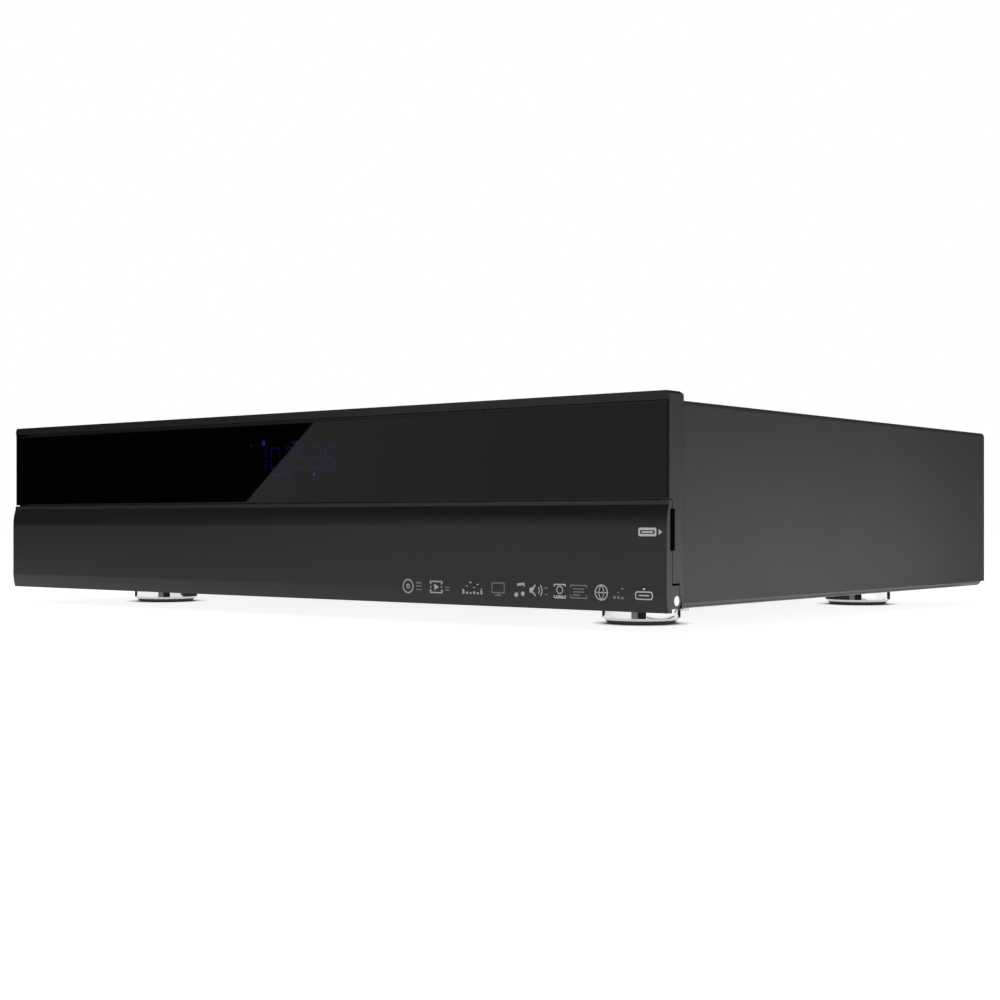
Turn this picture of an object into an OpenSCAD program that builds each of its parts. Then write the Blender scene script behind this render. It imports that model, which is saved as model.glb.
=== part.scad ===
// Hi-fi width media player with two slide-in drive trays behind a flip-down front door.
// Millimetres. X runs along the front, Y from front to back, Z up from the table.

/* [Cabinet] */
// Width of the front and of the cover
front_w = 430; // [424:1:444]
// Height from the table to the top of the front bezel
overall_h = 96.7; // [94:0.1:104]
// Depth from the glass plane to the rear edge of the cover
body_d = 318.7; // [314:0.1:345]
// Height of the pan's underside above the table
foot_h = 10.2; // [8:0.1:14]
// Thickness of the folded steel sheets
sheet_t = 1.2; // [1:0.1:1.5]
// Outer radius of the folds in the cover and the pan
fold_r = 2.2; // [1.8:0.1:2.8]
// Height of the bezel above the cover's top
front_step = 3.45; // [2.5:0.05:5]
// Height of the cover's side edges above the pan's underside
cover_lift = 2.3; // [2.2:0.1:3.4]
// Height of the pan's side flanges
pan_flange_h = 15; // [10:1:22]
// Gap left between pieces that slide over each other at assembly
fit_gap = 0.1; // [0.05:0.05:0.2]

/* [Front] */
// Depth of the front bezel behind the glass plane
bezel_d = 10.5; // [10:0.1:13]
// Thickness of the bezel's side cheeks
cheek_t = 6; // [5.5:0.1:7]
// Height of the strip above the glass
strip_h = 3.6; // [2.5:0.1:4]
// Shadow groove between the strip and the glass
strip_groove = 1.1; // [0.6:0.1:1.6]
// How far the strip stands ahead of the glass
strip_proud = 0.25; // [0.1:0.05:0.6]
// Radius of the strip's rear edge
strip_rear_r = 1.8; // [1:0.1:2.2]
// Bevel along the cheeks' top edges
cheek_bevel = 1.2; // [0.6:0.1:1.6]
// Thickness of the front glass
glass_t = 3; // [2:0.1:4]
// Thickness of the bezel's plate behind the glass
back_plate_t = 3; // [2:0.1:3.5]
// Thin wall of the cheek beside the glass
glass_rim = 1; // [0.8:0.1:1.6]

/* [Door] */
// Height of the door
door_h = 44.5; // [43.5:0.1:46]
// How far the door hangs below the pan
door_drop = 1.3; // [1.2:0.1:1.6]
// Seam between the door and the glass
door_seam = 1.1; // [0.6:0.1:1.6]
// How far the door's flat face stands ahead of the glass
door_bulge = 2; // [1.6:0.1:2.4]
// Depth of the door's back behind the glass plane
door_rear = 1.8; // [1.6:0.1:1.9]
// Height of the lip along the door's top edge
lip_h = 1.7; // [1:0.1:2.4]
// How far that lip stands ahead of the glass
lip_out = 0.55; // [0.3:0.05:0.8]
// Radius of the sweep from the flat face to the lip
sweep_r = 26.7; // [24:0.1:40]
// Radius of the turn-in along the door's foot
toe_r = 21; // [18:0.5:26]
// Height over which the door's foot turns in
toe_h = 7; // [5:0.1:8]
// Depth of the milled pocket in the door's back
door_pocket = 1.2; // [0.8:0.1:1.3]

/* [Door hinge] */
// Radius of the hinge pins
pin_r = 2; // [1.6:0.1:2.2]
// Depth of the pin axis behind the glass plane
pin_y = 5.4; // [5.2:0.1:5.8]
// Height of the pin axis above the door's lower edge
pin_rise = 4.7; // [4.6:0.1:4.9]
// Radius of the hinge lug round its pin
lug_r = 3; // [2.8:0.1:3.2]
// Height of the hinge lug above the door's lower edge
lug_h = 10.8; // [9.5:0.1:12]
// Radial clearance of a turning pin
run_fit = 0.05; // [0.02:0.01:0.08]
// Side clearance of the lug
lug_gap = 0.3; // [0.25:0.05:0.5]
// Thickness of the hinge brackets
bracket_t = 3; // [2.5:0.1:3.5]
// Length of the finger slot beside the door
slot_h = 16.6; // [12:0.1:20]
// Depth of the finger slot into the cheek
slot_d = 1.7; // [1.2:0.1:2]

/* [Drive trays] */
// Width of the drive that a tray takes
drive_w = 101.6; // [101:0.1:102]
// Length of that drive
drive_len = 147; // [146:0.1:148]
// Height of that drive
drive_h = 26.1; // [25:0.1:27]
// Side clearance of the drive in its tray
drive_gap = 0.3; // [0.2:0.05:0.5]
// Thickness of the tray's floor and walls
tray_t = 1.6; // [1.2:0.1:2]
// Height of the tray's side walls
tray_wall_h = 20; // [16:0.5:24]
// Depth of the tray faces behind the glass plane
tray_face_y = 24; // [22:0.5:28]
// Depth of the moulded tray front
tray_front_d = 12; // [11:0.5:14]
// Thickness of the guides beside the trays
guide_t = 3; // [2.6:0.1:3.6]
// Side clearance of a tray between its guides
tray_gap = 0.3; // [0.2:0.05:0.5]
// Height of the trays above the pan's floor
tray_lift = 2.7; // [2.4:0.1:3]
// Thickness of the drive cage's sheet
cage_t = 1; // [0.8:0.1:1.2]

/* [Tray handles] */
// Width of the folding bail handle
bail_w = 60; // [50:1:66]
// Length of the bail from its pivot to its bar
bail_len = 15; // [13:0.5:16]
// Thickness of the bail
bail_t = 3.2; // [2.6:0.1:3.6]
// Radius of the bail's pivot pins
bail_pin_r = 1; // [0.8:0.1:1.2]

/* [Feet] */
// Radius of the chromed feet
foot_r = 17.3; // [15:0.1:20]
// Distance from the feet's axes to the cabinet's sides
foot_side = 54; // [44:1:60]
// Distance from the glass plane to the front feet's axes
foot_front = 61.6; // [50:0.1:70]
// Distance from the rear feet's axes to the cover's rear edge
foot_rear = 43.5; // [35:0.5:60]
// Chamfer round the foot's lower edge
foot_chamfer = 2.2; // [1:0.1:2.8]
// Thickness of the rubber pad below the foot
pad_h = 0.6; // [0.4:0.1:1]

/* [Boards] */
// Thickness of the circuit boards
pcb_t = 1.6; // [1.2:0.1:2]
// Height of the boards above the pan's floor
spacer_h = 6; // [5:0.5:8]
// Gap between the drive cage and the main board
main_gap = 8.8; // [6:0.1:14]
// Depth of the main board
main_d = 178; // [150:1:185]
// Width of the power supply board
supply_w = 116; // [112:1:118]
// Gap between the drive backplane and the power supply board
supply_gap = 18.1; // [14:0.1:24]
// Width of the display in the front
display_w = 76; // [60:1:90]
// Height of the glass left free round the display
display_margin = 11.5; // [9:0.5:16]

/* [Rear] */
// Side of the square fan
fan_w = 60; // [58:1:62]
// Depth of the fan
fan_d = 15; // [14:0.5:20]
// Radius of the antenna sockets' threads
antenna_r = 3.15; // [3:0.05:3.3]
// How far the antenna sockets stand behind the rear panel
antenna_len = 10; // [8:0.5:12]
// Outer radius of the audio jacks
jack_r = 4.15; // [4:0.05:4.3]
// How far the audio jacks stand behind the rear panel
jack_len = 8.6; // [7:0.1:9.5]

/* [Hidden] */
$fn = 48;

// Heights above the table
half_w = front_w / 2;
door_z0 = foot_h - door_drop;
door_z1 = door_z0 + door_h;
glass_z0 = door_z1 + door_seam;
strip_z0 = overall_h - strip_h;
glass_z1 = strip_z0 - strip_groove;
cover_z1 = overall_h - front_step;
pan_top = foot_h + sheet_t;
pin_z = door_z0 + pin_rise;

// Depths behind the glass plane
pan_y0 = bezel_d + 0.5;
rear_y = body_d - sheet_t - fit_gap;
rear_in_y = rear_y - sheet_t;
front_upturn = 2.2;
rear_upturn = 6.5;
pan_y1 = rear_in_y - fit_gap;
socket_tip_y = rear_y + antenna_len;
mid_y = (socket_tip_y - door_bulge) / 2;
back_plate_y0 = glass_t + 0.2;
back_plate_y1 = back_plate_y0 + back_plate_t;
fascia_y0 = pan_y0 + sheet_t + fit_gap;
fascia_t = 2;
fascia_y1 = fascia_y0 + fascia_t;

// Widths
pan_w = front_w - 2 * (sheet_t + fit_gap);
lug_x0 = half_w - cheek_t + lug_gap;
bracket_x1 = half_w - cheek_t - 0.2;
bracket_x0 = bracket_x1 - bracket_t;
bracket_foot_w = 7;
fascia_half_w = bracket_x0 - 0.3;
well_wall = 1.5;

// Drive bays
tray_w = drive_w + 2 * (drive_gap + tray_t);
tray_z0 = pan_top + tray_lift;
drive_z0 = tray_z0 + tray_t;
drive_y0 = tray_face_y + tray_front_d + tray_t + 0.3;
drive_y1 = drive_y0 + drive_len;
tray_front_w = tray_w + 2.2;
tray_front_h = drive_h + tray_t + 2.3;
tray_front_z0 = tray_z0 + 0.3;
tray_front_z1 = tray_front_z0 + tray_front_h;
front_clear = 0.6;
bay_w = tray_w + 2 * (guide_t + tray_gap);
cage_x0 = -bracket_x0 + bracket_foot_w + 1;
cage_x1 = cage_x0 + 2 * bay_w + 3 * cage_t;
bay_pitch = bay_w + cage_t;
bay_x = [for (i = [0, 1]) cage_x0 + cage_t + bay_w / 2 + i * bay_pitch];
cage_y0 = tray_face_y + 1;
cage_z1 = tray_front_z1 + 2.5;
socket_y0 = drive_y1 + 0.6;
backplane_y0 = socket_y0 + 6;
cage_y1 = backplane_y0 - fit_gap;
runner_h = 3;
runner_z0 = drive_z0 + 6;
runner_out = 1.5;
guide_h = 9;
floor_holes = [41.28, 85.73];
floor_hole_x = drive_w / 2 - 3.17;
drive_hole_r = 1.8;

// Handles: the bail hangs from pins near the top of a pocket in the tray front
pocket_w = bail_w + 2;
pocket_d = 9.2;
pocket_z0 = tray_front_z0 + 2.4;
bail_z = tray_front_z0 + 24;
bail_y = tray_face_y + 2;
pocket_z1 = bail_z + bail_t / 2 + 1.6;
light_x = -tray_front_w / 2 + 9;
light_z = tray_front_z0 + tray_front_h / 2;
light_r = 1.5;

// Hinge lug and its seat in the cheek
lug_rear_y = pin_y + 1.7;
seat_top = door_z0 + lug_h + 0.9;
slot_z0 = door_z0 + 24.6;
magnet_r = 2.5;
magnet_x = half_w - 25;
magnet_z = tray_front_z1 + front_clear + 3.6;
magnet_boss_r = magnet_r + 0.9;
strike_t = 0.8;

// Screws
screw_r = 1.45;
screw_hole_r = 1.6;
screw_head_r = 2.75;
screw_head_h = 1.8;
screw_len = 5;
screw_bite = 0.03;

// Boards and what stands on them
board_z0 = pan_top + spacer_h;
board_z1 = board_z0 + pcb_t;
main_x1 = half_w - 9;
main_x0 = cage_x1 + main_gap;
main_w = main_x1 - main_x0;
main_y1 = rear_in_y - 2;
main_y0 = main_y1 - main_d;
supply_x0 = -half_w + 12;
supply_x1 = supply_x0 + supply_w;
supply_y1 = rear_in_y - 7;
supply_y0 = backplane_y0 + pcb_t + supply_gap;
supply_d = supply_y1 - supply_y0;
spacer_r = 2.5;
spacer_inset = 5;
display_x = 8.5;
display_h = glass_z1 - glass_z0 - display_margin;
display_z = (glass_z0 + glass_z1) / 2 + 0.7;
display_d = 6;
display_board_y = back_plate_y1 + display_d + 1;
display_boss_r = 2.4;

// Front controls beside the bays
button_r = 6;
button_x = half_w - 40;
button_z = tray_front_z0 + tray_front_h / 2;
button_travel = 1;
button_proud = 1.5;
button_flange_r = button_r + 1.4;
button_back_y = fascia_y1 + 1.4;
front_usb_x = button_x - 34;

// Rear ports, spread along the main board's rear edge
port_margin = 9;
lan_w = 16;
usb_stack_w = 14.4;
hdmi_w = 15.2;
optical_w = 9.8;
jack_w = 10;
ports_w = lan_w + usb_stack_w + 3 * hdmi_w + optical_w + 2 * jack_w;
port_gap = (main_w - 2 * port_margin - ports_w) / 7;
lan_x = main_x0 + port_margin + lan_w / 2;
usb_x = lan_x + (lan_w + usb_stack_w) / 2 + port_gap;
hdmi_x0 = usb_x + (usb_stack_w + hdmi_w) / 2 + port_gap;
hdmi_x = [for (i = [0:2]) hdmi_x0 + i * (hdmi_w + port_gap)];
optical_x = hdmi_x[2] + (hdmi_w + optical_w) / 2 + port_gap;
jack_x0 = optical_x + (optical_w + jack_w) / 2 + port_gap;
jack_x = [for (i = [0:1]) jack_x0 + i * (jack_w + port_gap)];
jack_z = board_z1 + 8;
antenna_x = [main_x0 + 12, main_x1 - 8];
antenna_z = cover_z1 - 22;
inlet_x = supply_x0 + 24;
inlet_z = board_z1 + 20;
rocker_x = inlet_x + 36;
rocker_throw = 8;
rocker_pin_r = 1.5;
rocker_y = rear_y - 0.6;
fan_x = (supply_x1 + main_x0) / 2 + 4;
fan_z = pan_top + rear_upturn + 0.5 + fan_w / 2;
fan_bore_r = fan_w / 2 - 1.5;
fan_gap = 0.8;
fan_hub_r = 12.5;
fan_screw_pitch = fan_w - 10;
fan_y1 = rear_in_y - fit_gap;
fan_y0 = fan_y1 - fan_d;

// Casing details
cover_rim = 9;
vent_w = 3.2;
cover_screw_x = [for (i = [-2:2]) i * (half_w - 15) / 2];
cover_screw_z = cover_z1 - 5;
rear_screw_x = [for (s = [-1, 1]) s * (half_w - 16), -78, 28];
rear_screw_z0 = pan_top + 3.2;
rear_h = cover_z1 - sheet_t - pan_top - 0.4;
door_gap = 0.4;
swing_gap = 0.35;
heel_rise = 1.5;
heel_reach = pin_rise - heel_rise;
shelf_z1 = glass_z0 - 0.7;
magnet_y0 = door_rear + 0.3;
magnet_len = 4;
pocket_x = half_w - 15;
pocket_top = door_z1 - 2.5;
fascia_lug_x = [-150, 130];
fascia_lug_z = shelf_z1 + 5;
fascia_tab_x = [cage_x1 + 22, bracket_x0 - bracket_foot_w - 7];
bracket_nose_r = pin_r + 1.2;
bracket_len = 32;
bracket_foot_y = pin_y + 24;
bracket_screw_y = (pin_y + bezel_d) / 2 + 0.2;
bracket_screw_z = [pan_top + 14, pan_top + 26];
foot_screw_r = 2;
foot_screw_head_r = 3.6;
foot_wall = 1.8;
foot_floor_z = pad_h + foot_chamfer + 1;
foot_seat_z = foot_floor_z;
foot_boss_r = 6;
pad_seat = 0.6;
pad_r0 = 6;
pad_r1 = foot_r - foot_chamfer - 1;
cage_foot_w = 9;
cage_len = cage_y1 - cage_y0;
cage_foot_y = [cage_y0 + 0.24 * cage_len, cage_y0 + 0.78 * cage_len];
guide_y0 = cage_y0 + 14;
guide_y1 = cage_y1 - 12;
tray_plate_y0 = tray_face_y + tray_front_d;
tray_plate_y1 = tray_plate_y0 + tray_t;
tray_y0 = tray_plate_y1 + 0.05;
tray_y1 = drive_y1 - 8;
tray_opening_w = 0.68 * tray_w;
pocket_rim = 2.5;
sheet_gap = 0.4;
chip_h = 2;
processor_w = 22;
memory_w = 12;
memory_d = 9;
memory_pitch = 18;
memory_h = 1.2;
bridge_w = 16;
bridge_h = 1.6;
heatsink_w = 52;
heatsink_h = 24;
heatsink_base = 4;
heatsink_fin_t = 1.4;
heatsink_fins = 12;
heatsink_x = main_x0 + 0.55 * main_w;
heatsink_y = main_y0 + 0.47 * main_d;
memory_x = heatsink_x - 0.3 * main_w;
bridge_y = main_y0 + 0.146 * main_d;
core_w = 41;
core_d = 30;
core_z0 = 2;
core_z1 = 26;
core_t = 7;
bobbin_t = 2;
winding_w = 24;
winding_r = 12;
transformer_x = supply_x0 + 0.586 * supply_w;
transformer_y = supply_y0 + 0.43 * supply_d;
bulk_r = 9;
bulk_h = 30;
small_r = 5;
small_h = 20;
small_pitch = 0.153 * supply_d;
film_w = 18;
film_d = 8;
film_h = 14;
plate_t = 3;
plate_h = 32;
plate_len = 0.43 * supply_d;
plate_x = [supply_x0 + 0.328 * supply_w, supply_x0 + 0.776 * supply_w];
plate_fin_w = 3.1;
plate_fin_t = 1.5;
plate_fin_pitch = 0.214 * plate_len;
port_y1 = rear_y + 0.4;
usb_w = 13.2;
usb_h = 5.8;
front_board_z1 = button_z - 3;
front_board_z0 = front_board_z1 - pcb_t;
front_board_y0 = button_back_y + button_travel + 0.6;
front_board_y1 = front_board_y0 + 26;
front_board_x0 = front_usb_x - 17;
front_board_x1 = button_x + 15;
front_ledge_x = [front_board_x0 + 4, front_board_x1 - 4];
switch_y0 = button_back_y + button_travel + 0.2;
stem_r = 1.6;
display_boss_x = display_w / 2 + 6;
display_boss_z = display_h / 2 - 1;
inlet_w = 27;
inlet_h = 20;
inlet_d = 18;
inlet_well = 17;
inlet_pin_places = [[-7, -1], [7, -1], [0, 3]];
rocker_w = 11;
rocker_half = 8.2;
fan_shaft_r = 1.5;
fan_blades = 7;

// ---------- Shared shapes ----------

// Puts its children in the cabinet's own frame, Y counted from the glass plane
module from_front() {
    translate([0, -mid_y, 0]) children();
}

// A YZ outline extruded from x0 to x1
module along_x(x0, x1) {
    translate([x0, 0, 0]) rotate([90, 0, 90]) linear_extrude(x1 - x0) children();
}

// An XZ outline extruded from y0 to y1
module along_y(y0, y1) {
    translate([0, y1, 0]) rotate([90, 0, 0]) linear_extrude(y1 - y0) children();
}

// A box between two corners
module block(low, high) {
    translate(low) cube(high - low);
}

// A round bar along X
module rod_x(x0, x1, y, z, r) {
    translate([x0, y, z]) rotate([0, 90, 0]) cylinder(h = x1 - x0, r = r);
}

// A round bar along Y
module rod_y(x, y0, y1, z, r) {
    translate([x, y0, z]) rotate([-90, 0, 0]) cylinder(h = y1 - y0, r = r);
}

// A round bar along Z
module rod_z(x, y, z0, z1, r) {
    translate([x, y, z0]) cylinder(h = z1 - z0, r = r);
}

// The piece as drawn and its mirror image on the other side
module both_sides() {
    children();
    mirror([1, 0, 0]) children();
}

// A rectangle with four round corners
module round_rect(w, h, r) {
    square([w - 2 * r, h], center = true);
    square([w, h - 2 * r], center = true);
    for (sx = [-1, 1], sy = [-1, 1])
        translate([sx * (w / 2 - r), sy * (h / 2 - r)]) circle(r);
}

// A rectangle with round upper corners, standing on z0
module arch(w, z0, z1, r) {
    translate([-w / 2, z0]) square([w, z1 - z0 - r]);
    translate([-w / 2 + r, z0]) square([w - 2 * r, z1 - z0]);
    for (s = [-1, 1]) translate([s * (w / 2 - r), z1 - r]) circle(r);
}

// A slot with round ends, its length along X
module slot(len, w) {
    square([len - w, w], center = true);
    for (s = [-1, 1]) translate([s * (len - w) / 2, 0]) circle(w / 2);
}

// A pan-head screw with its head on the plane z = 0 and its shank below
module screw(len = screw_len) {
    cylinder(h = screw_head_h, r = screw_head_r);
    translate([0, 0, -len]) cylinder(h = len + 0.1, r = screw_r);
}

// ---------- Casing ----------

// Floor of the cabinet: a folded tray with side flanges and a low front and rear edge
module base_pan() color("dimgray") from_front() {
    difference() {
        union() {
            along_y(pan_y0, pan_y1) difference() {
                mirror([0, 1]) arch(pan_w, -foot_h - pan_flange_h, -foot_h, fold_r);
                mirror([0, 1])
                    arch(pan_w - 2 * sheet_t, -foot_h - pan_flange_h - 1, -pan_top, fold_r - sheet_t);
            }
            // front and rear upturns
            block([-fascia_half_w, pan_y0, pan_top - 0.1],
                [fascia_half_w, pan_y0 + sheet_t, pan_top + front_upturn]);
            block([-pan_w / 2 + fold_r, pan_y1 - sheet_t, pan_top - 0.1],
                [pan_w / 2 - fold_r, pan_y1, pan_top + rear_upturn]);
        }
        foot_places() rod_z(0, 0, foot_h - 1, pan_top + 1, foot_screw_r + screw_bite);
        pan_screw_places() cylinder(h = 4 * sheet_t, r = screw_hole_r, center = true);
        pan_vents();
        for (x = rear_screw_x)
            rod_y(x, pan_y1 - 2 * sheet_t, pan_y1 + 1, rear_screw_z0, screw_r + screw_bite);
    }
}

// Rows of air slots below the drives and the power supply
module pan_vents() {
    vent_y0 = foot_front + foot_r + 6;
    vent_pitch = (drive_y1 - 8 - vent_y0) / 6;
    main_pitch = main_d / 9;
    for (x = bay_x, row = [0:6])
        translate([x, vent_y0 + row * vent_pitch, foot_h - 1]) linear_extrude(3 * sheet_t) slot(64, vent_w);
    for (row = [1:5])
        translate([(main_x0 + main_x1) / 2, main_y0 + row * main_pitch, foot_h - 1])
            linear_extrude(3 * sheet_t) slot(0.43 * main_w, vent_w);
}

// Folded cover: top, two plain sides and a narrow rim at the back
module top_cover() color([0.27, 0.27, 0.28]) from_front() {
    cover_z0 = foot_h + cover_lift;
    difference() {
        along_y(bezel_d + fit_gap, body_d) arch(front_w, cover_z0, cover_z1, fold_r);
        along_y(bezel_d, body_d - sheet_t)
            arch(front_w - 2 * sheet_t, cover_z0 - 1, cover_z1 - sheet_t, fold_r - sheet_t);
        along_y(body_d - 2 * sheet_t, body_d + 1)
            arch(front_w - 2 * cover_rim, cover_z0 - 1, cover_z1 - cover_rim, 1);
        for (x = cover_screw_x)
            rod_y(x, body_d - 2 * sheet_t, body_d + 1, cover_screw_z, screw_hole_r);
    }
}

// Rear panel with the cut-outs for the ports, the inlet and the fan
module rear_panel() color("dimgray") from_front() difference() {
    union() {
        along_y(rear_in_y, rear_y) translate([0, pan_top + 0.2]) arch(pan_w - 0.4, 0, rear_h, 1);
        // flange along the top edge, folded forwards below the cover
        block([-pan_w / 2 + 4, rear_in_y - 9, pan_top + rear_h - sheet_t + 0.2],
            [pan_w / 2 - 4, rear_in_y + 0.1, pan_top + rear_h + 0.2]);
    }
    for (x = cover_screw_x)
        rod_y(x, rear_in_y - 1, rear_y + 1, cover_screw_z, screw_r + screw_bite);
    for (x = rear_screw_x)
        rod_y(x, rear_in_y - 1, rear_y + 1, rear_screw_z0, screw_hole_r);
    along_y(rear_in_y - 1, rear_y + 1) rear_cut_outs();
}

module rear_cut_outs() {
    translate([lan_x, board_z1 + 7]) square([lan_w + 0.6, 14.4], center = true);
    translate([usb_x, board_z1 + 8.1]) square([usb_stack_w + 0.6, 16.6], center = true);
    for (x = hdmi_x) translate([x, board_z1 + 3.4]) square([hdmi_w + 0.8, 7.4], center = true);
    translate([optical_x, board_z1 + 5.6]) square([optical_w + 0.6, 11.6], center = true);
    for (x = jack_x) translate([x, jack_z]) circle(jack_r + 0.3);
    for (x = antenna_x) translate([x, antenna_z]) circle(antenna_r + 0.1);
    translate([inlet_x, inlet_z]) inlet_outline(0.2);
    translate([rocker_x, inlet_z]) square([13.4, 19.4], center = true);
    translate([fan_x, fan_z]) {
        fan_grille();
        for (sx = [-1, 1], sz = [-1, 1])
            translate([sx, sz] * fan_screw_pitch / 2) circle(screw_hole_r);
    }
    // air slots over the ports
    for (col = [0:8], row = [0:3])
        translate([main_x0 + (0.2 + col / 12) * main_w, antenna_z - 12 + row * 7]) slot(0.06 * main_w, 3);
}

// Punched ring slots in front of the fan, parted by four straight webs
module fan_grille() {
    difference() {
        for (r = [9:6:fan_bore_r - 2]) difference() {
            circle(r + 2);
            circle(r - 1.6);
        }
        for (a = [45, 135]) rotate(a) square([2 * fan_bore_r, 3], center = true);
    }
}

// ---------- Front ----------

// Aluminium front frame: strip above the glass, plate behind it and a cheek at each end
module front_bezel() color([0.2, 0.2, 0.2]) from_front() difference() {
    union() {
        along_x(-half_w, half_w) strip_outline();
        block([-half_w + 1, back_plate_y0, glass_z0 - 0.6], [half_w - 1, back_plate_y1, strip_z0 + 0.5]);
        both_sides() along_x(half_w - cheek_t, half_w) cheek_outline();
        for (sx = [-1, 1], sz = [-1, 1])
            rod_y(display_x + sx * display_boss_x, back_plate_y1 - 0.5, display_board_y - 0.05,
                display_z + sz * display_boss_z, display_boss_r);
    }
    // seat of the glass between the two rims
    block([-half_w + glass_rim, -1, glass_z0 - 1.2], [half_w - glass_rim, back_plate_y0, strip_z0]);
    // window for the display
    block([display_x - display_w / 2 - 0.3, back_plate_y0 - 1, display_z - display_h / 2 - 0.3],
        [display_x + display_w / 2 + 0.3, back_plate_y1 + 1, display_z + display_h / 2 + 0.3]);
    both_sides() translate([half_w, -1, overall_h]) rotate([-90, 0, 0])
        linear_extrude(bezel_d + 2) rotate(45) square(cheek_bevel * sqrt(2), center = true);
    // finger slot beside the door, on the right only
    block([half_w - cheek_t - 1, -1, slot_z0], [half_w + 1, door_rear + door_gap + slot_d, slot_z0 + slot_h]);
    for (sx = [-1, 1], sz = [-1, 1])
        rod_y(display_x + sx * display_boss_x, back_plate_y1, display_board_y + 1,
            display_z + sz * display_boss_z, screw_r + screw_bite);
    for (x = fascia_lug_x)
        rod_y(x, back_plate_y0 - 1, back_plate_y1 + 1, fascia_lug_z, screw_r + screw_bite);
    both_sides() for (z = bracket_screw_z)
        rod_x(half_w - cheek_t - 1, half_w - cheek_t + screw_len, bracket_screw_y, z, screw_r + screw_bite);
}

module strip_outline() {
    difference() {
        translate([-strip_proud, strip_z0]) square([bezel_d + strip_proud, strip_h]);
        translate([bezel_d - strip_rear_r, overall_h - strip_rear_r]) square(strip_rear_r + 1);
    }
    translate([bezel_d - strip_rear_r, overall_h - strip_rear_r]) circle(strip_rear_r);
}

// Side view of a cheek, cut away where the door and its hinge lug swing
module cheek_outline() {
    seam_z = door_z1 + door_seam / 2;
    difference() {
        union() {
            translate([0, seam_z]) square([bezel_d, strip_z0 + 0.5 - seam_z]);
            translate([door_rear + door_gap, foot_h + 0.2]) square([bezel_d - door_rear - door_gap, door_h]);
        }
        translate([-1, foot_h - 1]) square([lug_rear_y + swing_gap + 1, seat_top - foot_h + 1]);
        translate([pin_y, pin_z]) circle(lug_r + swing_gap);
        translate([pin_y, foot_h - 1]) square([heel_reach + swing_gap, pin_z - foot_h + 1]);
    }
}

// Polished sheet over the display
module front_glass() color([0.02, 0.02, 0.025]) from_front()
    block([-half_w + glass_rim + 0.3, 0, glass_z0], [half_w - glass_rim - 0.3, glass_t, glass_z1]);

// Moulded panel behind the door: a well round each tray, the USB slot and the power button's hole
module bay_fascia() color([0.1, 0.1, 0.1]) from_front() difference() {
    union() {
        block([-fascia_half_w, fascia_y0, pan_top + 0.2], [fascia_half_w, fascia_y1, shelf_z1]);
        // shelf closing the space below the bezel's plate
        block([-fascia_half_w, back_plate_y0, shelf_z1 - well_wall], [fascia_half_w, fascia_y1, shelf_z1]);
        for (x = bay_x)
            well_block(x, well_wall, fascia_y0, cage_y0 - 0.5);
        both_sides() rod_y(magnet_x, magnet_y0 + 0.3, fascia_y1, magnet_z, magnet_boss_r);
        // lugs screwed to the bezel's plate
        for (x = fascia_lug_x)
            block([x - 6, back_plate_y1 + 0.1, shelf_z1 - well_wall],
                [x + 6, back_plate_y1 + 2.1, fascia_lug_z + 4]);
        // tabs screwed to the pan
        for (x = fascia_tab_x)
            block([x - 5, fascia_y0, pan_top], [x + 5, fascia_y1 + 9, pan_top + 2]);
        // ledges that carry the front board
        for (x = front_ledge_x)
            block([x - 4, fascia_y0, front_board_z0 - 4], [x + 4, front_board_y1, front_board_z0]);
    }
    for (x = bay_x) well_block(x, 0, fascia_y0 - 1, cage_y0);
    both_sides()
        rod_y(magnet_x, magnet_y0 - 1, magnet_y0 + magnet_len + 0.1, magnet_z, magnet_r + screw_bite);
    rod_y(button_x, fascia_y0 - 1, fascia_y1 + 1, button_z, button_r + run_fit + 0.05);
    block([front_usb_x - usb_w / 2 - 0.3, fascia_y0 - 1, front_board_z1 - 0.1],
        [front_usb_x + usb_w / 2 + 0.3, fascia_y1 + 1, front_board_z1 + usb_h + 0.3]);
    for (x = fascia_lug_x)
        rod_y(x, back_plate_y1 - 1, back_plate_y1 + 3, fascia_lug_z, screw_hole_r);
    for (x = fascia_tab_x)
        rod_z(x, fascia_y1 + 5, pan_top - 1, pan_top + 3, screw_r + screw_bite);
    for (x = front_ledge_x)
        rod_z(x, front_board_y1 - 5, front_board_z0 - 5, front_board_z0 + 1, screw_r + screw_bite);
}

// A block round the path of one tray front, grown by a wall
module well_block(x, wall, y0, y1) {
    grow = front_clear + wall;
    block([x - tray_front_w / 2 - grow, y0, tray_front_z0 - grow],
        [x + tray_front_w / 2 + grow, y1, tray_front_z1 + grow]);
}

// Small round magnets that hold the door shut
module door_magnets() color("silver") from_front() both_sides()
    rod_y(magnet_x, magnet_y0, magnet_y0 + magnet_len, magnet_z, magnet_r);

// ---------- Door ----------

// Section of the door: flat face, sweep up to the lip and turned-in toe
module door_outline() {
    face_z0 = door_z0 + toe_h;
    sweep_z1 = door_z1 - lip_h;
    depth = door_bulge + door_rear;
    sweep_drop = sqrt(sweep_r * sweep_r - pow(sweep_r - door_bulge + lip_out, 2));
    face_z1 = sweep_z1 - sweep_drop;
    translate([-door_bulge, face_z0]) square([depth, face_z1 - face_z0]);
    intersection() {
        translate([-door_bulge + sweep_r, face_z1]) circle(sweep_r, $fn = 180);
        translate([-door_bulge, face_z1]) square([depth, sweep_drop + lip_h / 2]);
    }
    translate([-lip_out, face_z1]) square([lip_out + door_rear, sweep_drop + lip_h]);
    intersection() {
        translate([-door_bulge + toe_r, face_z0]) circle(toe_r, $fn = 180);
        translate([-door_bulge, door_z0]) square([depth, toe_h]);
    }
}

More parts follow.
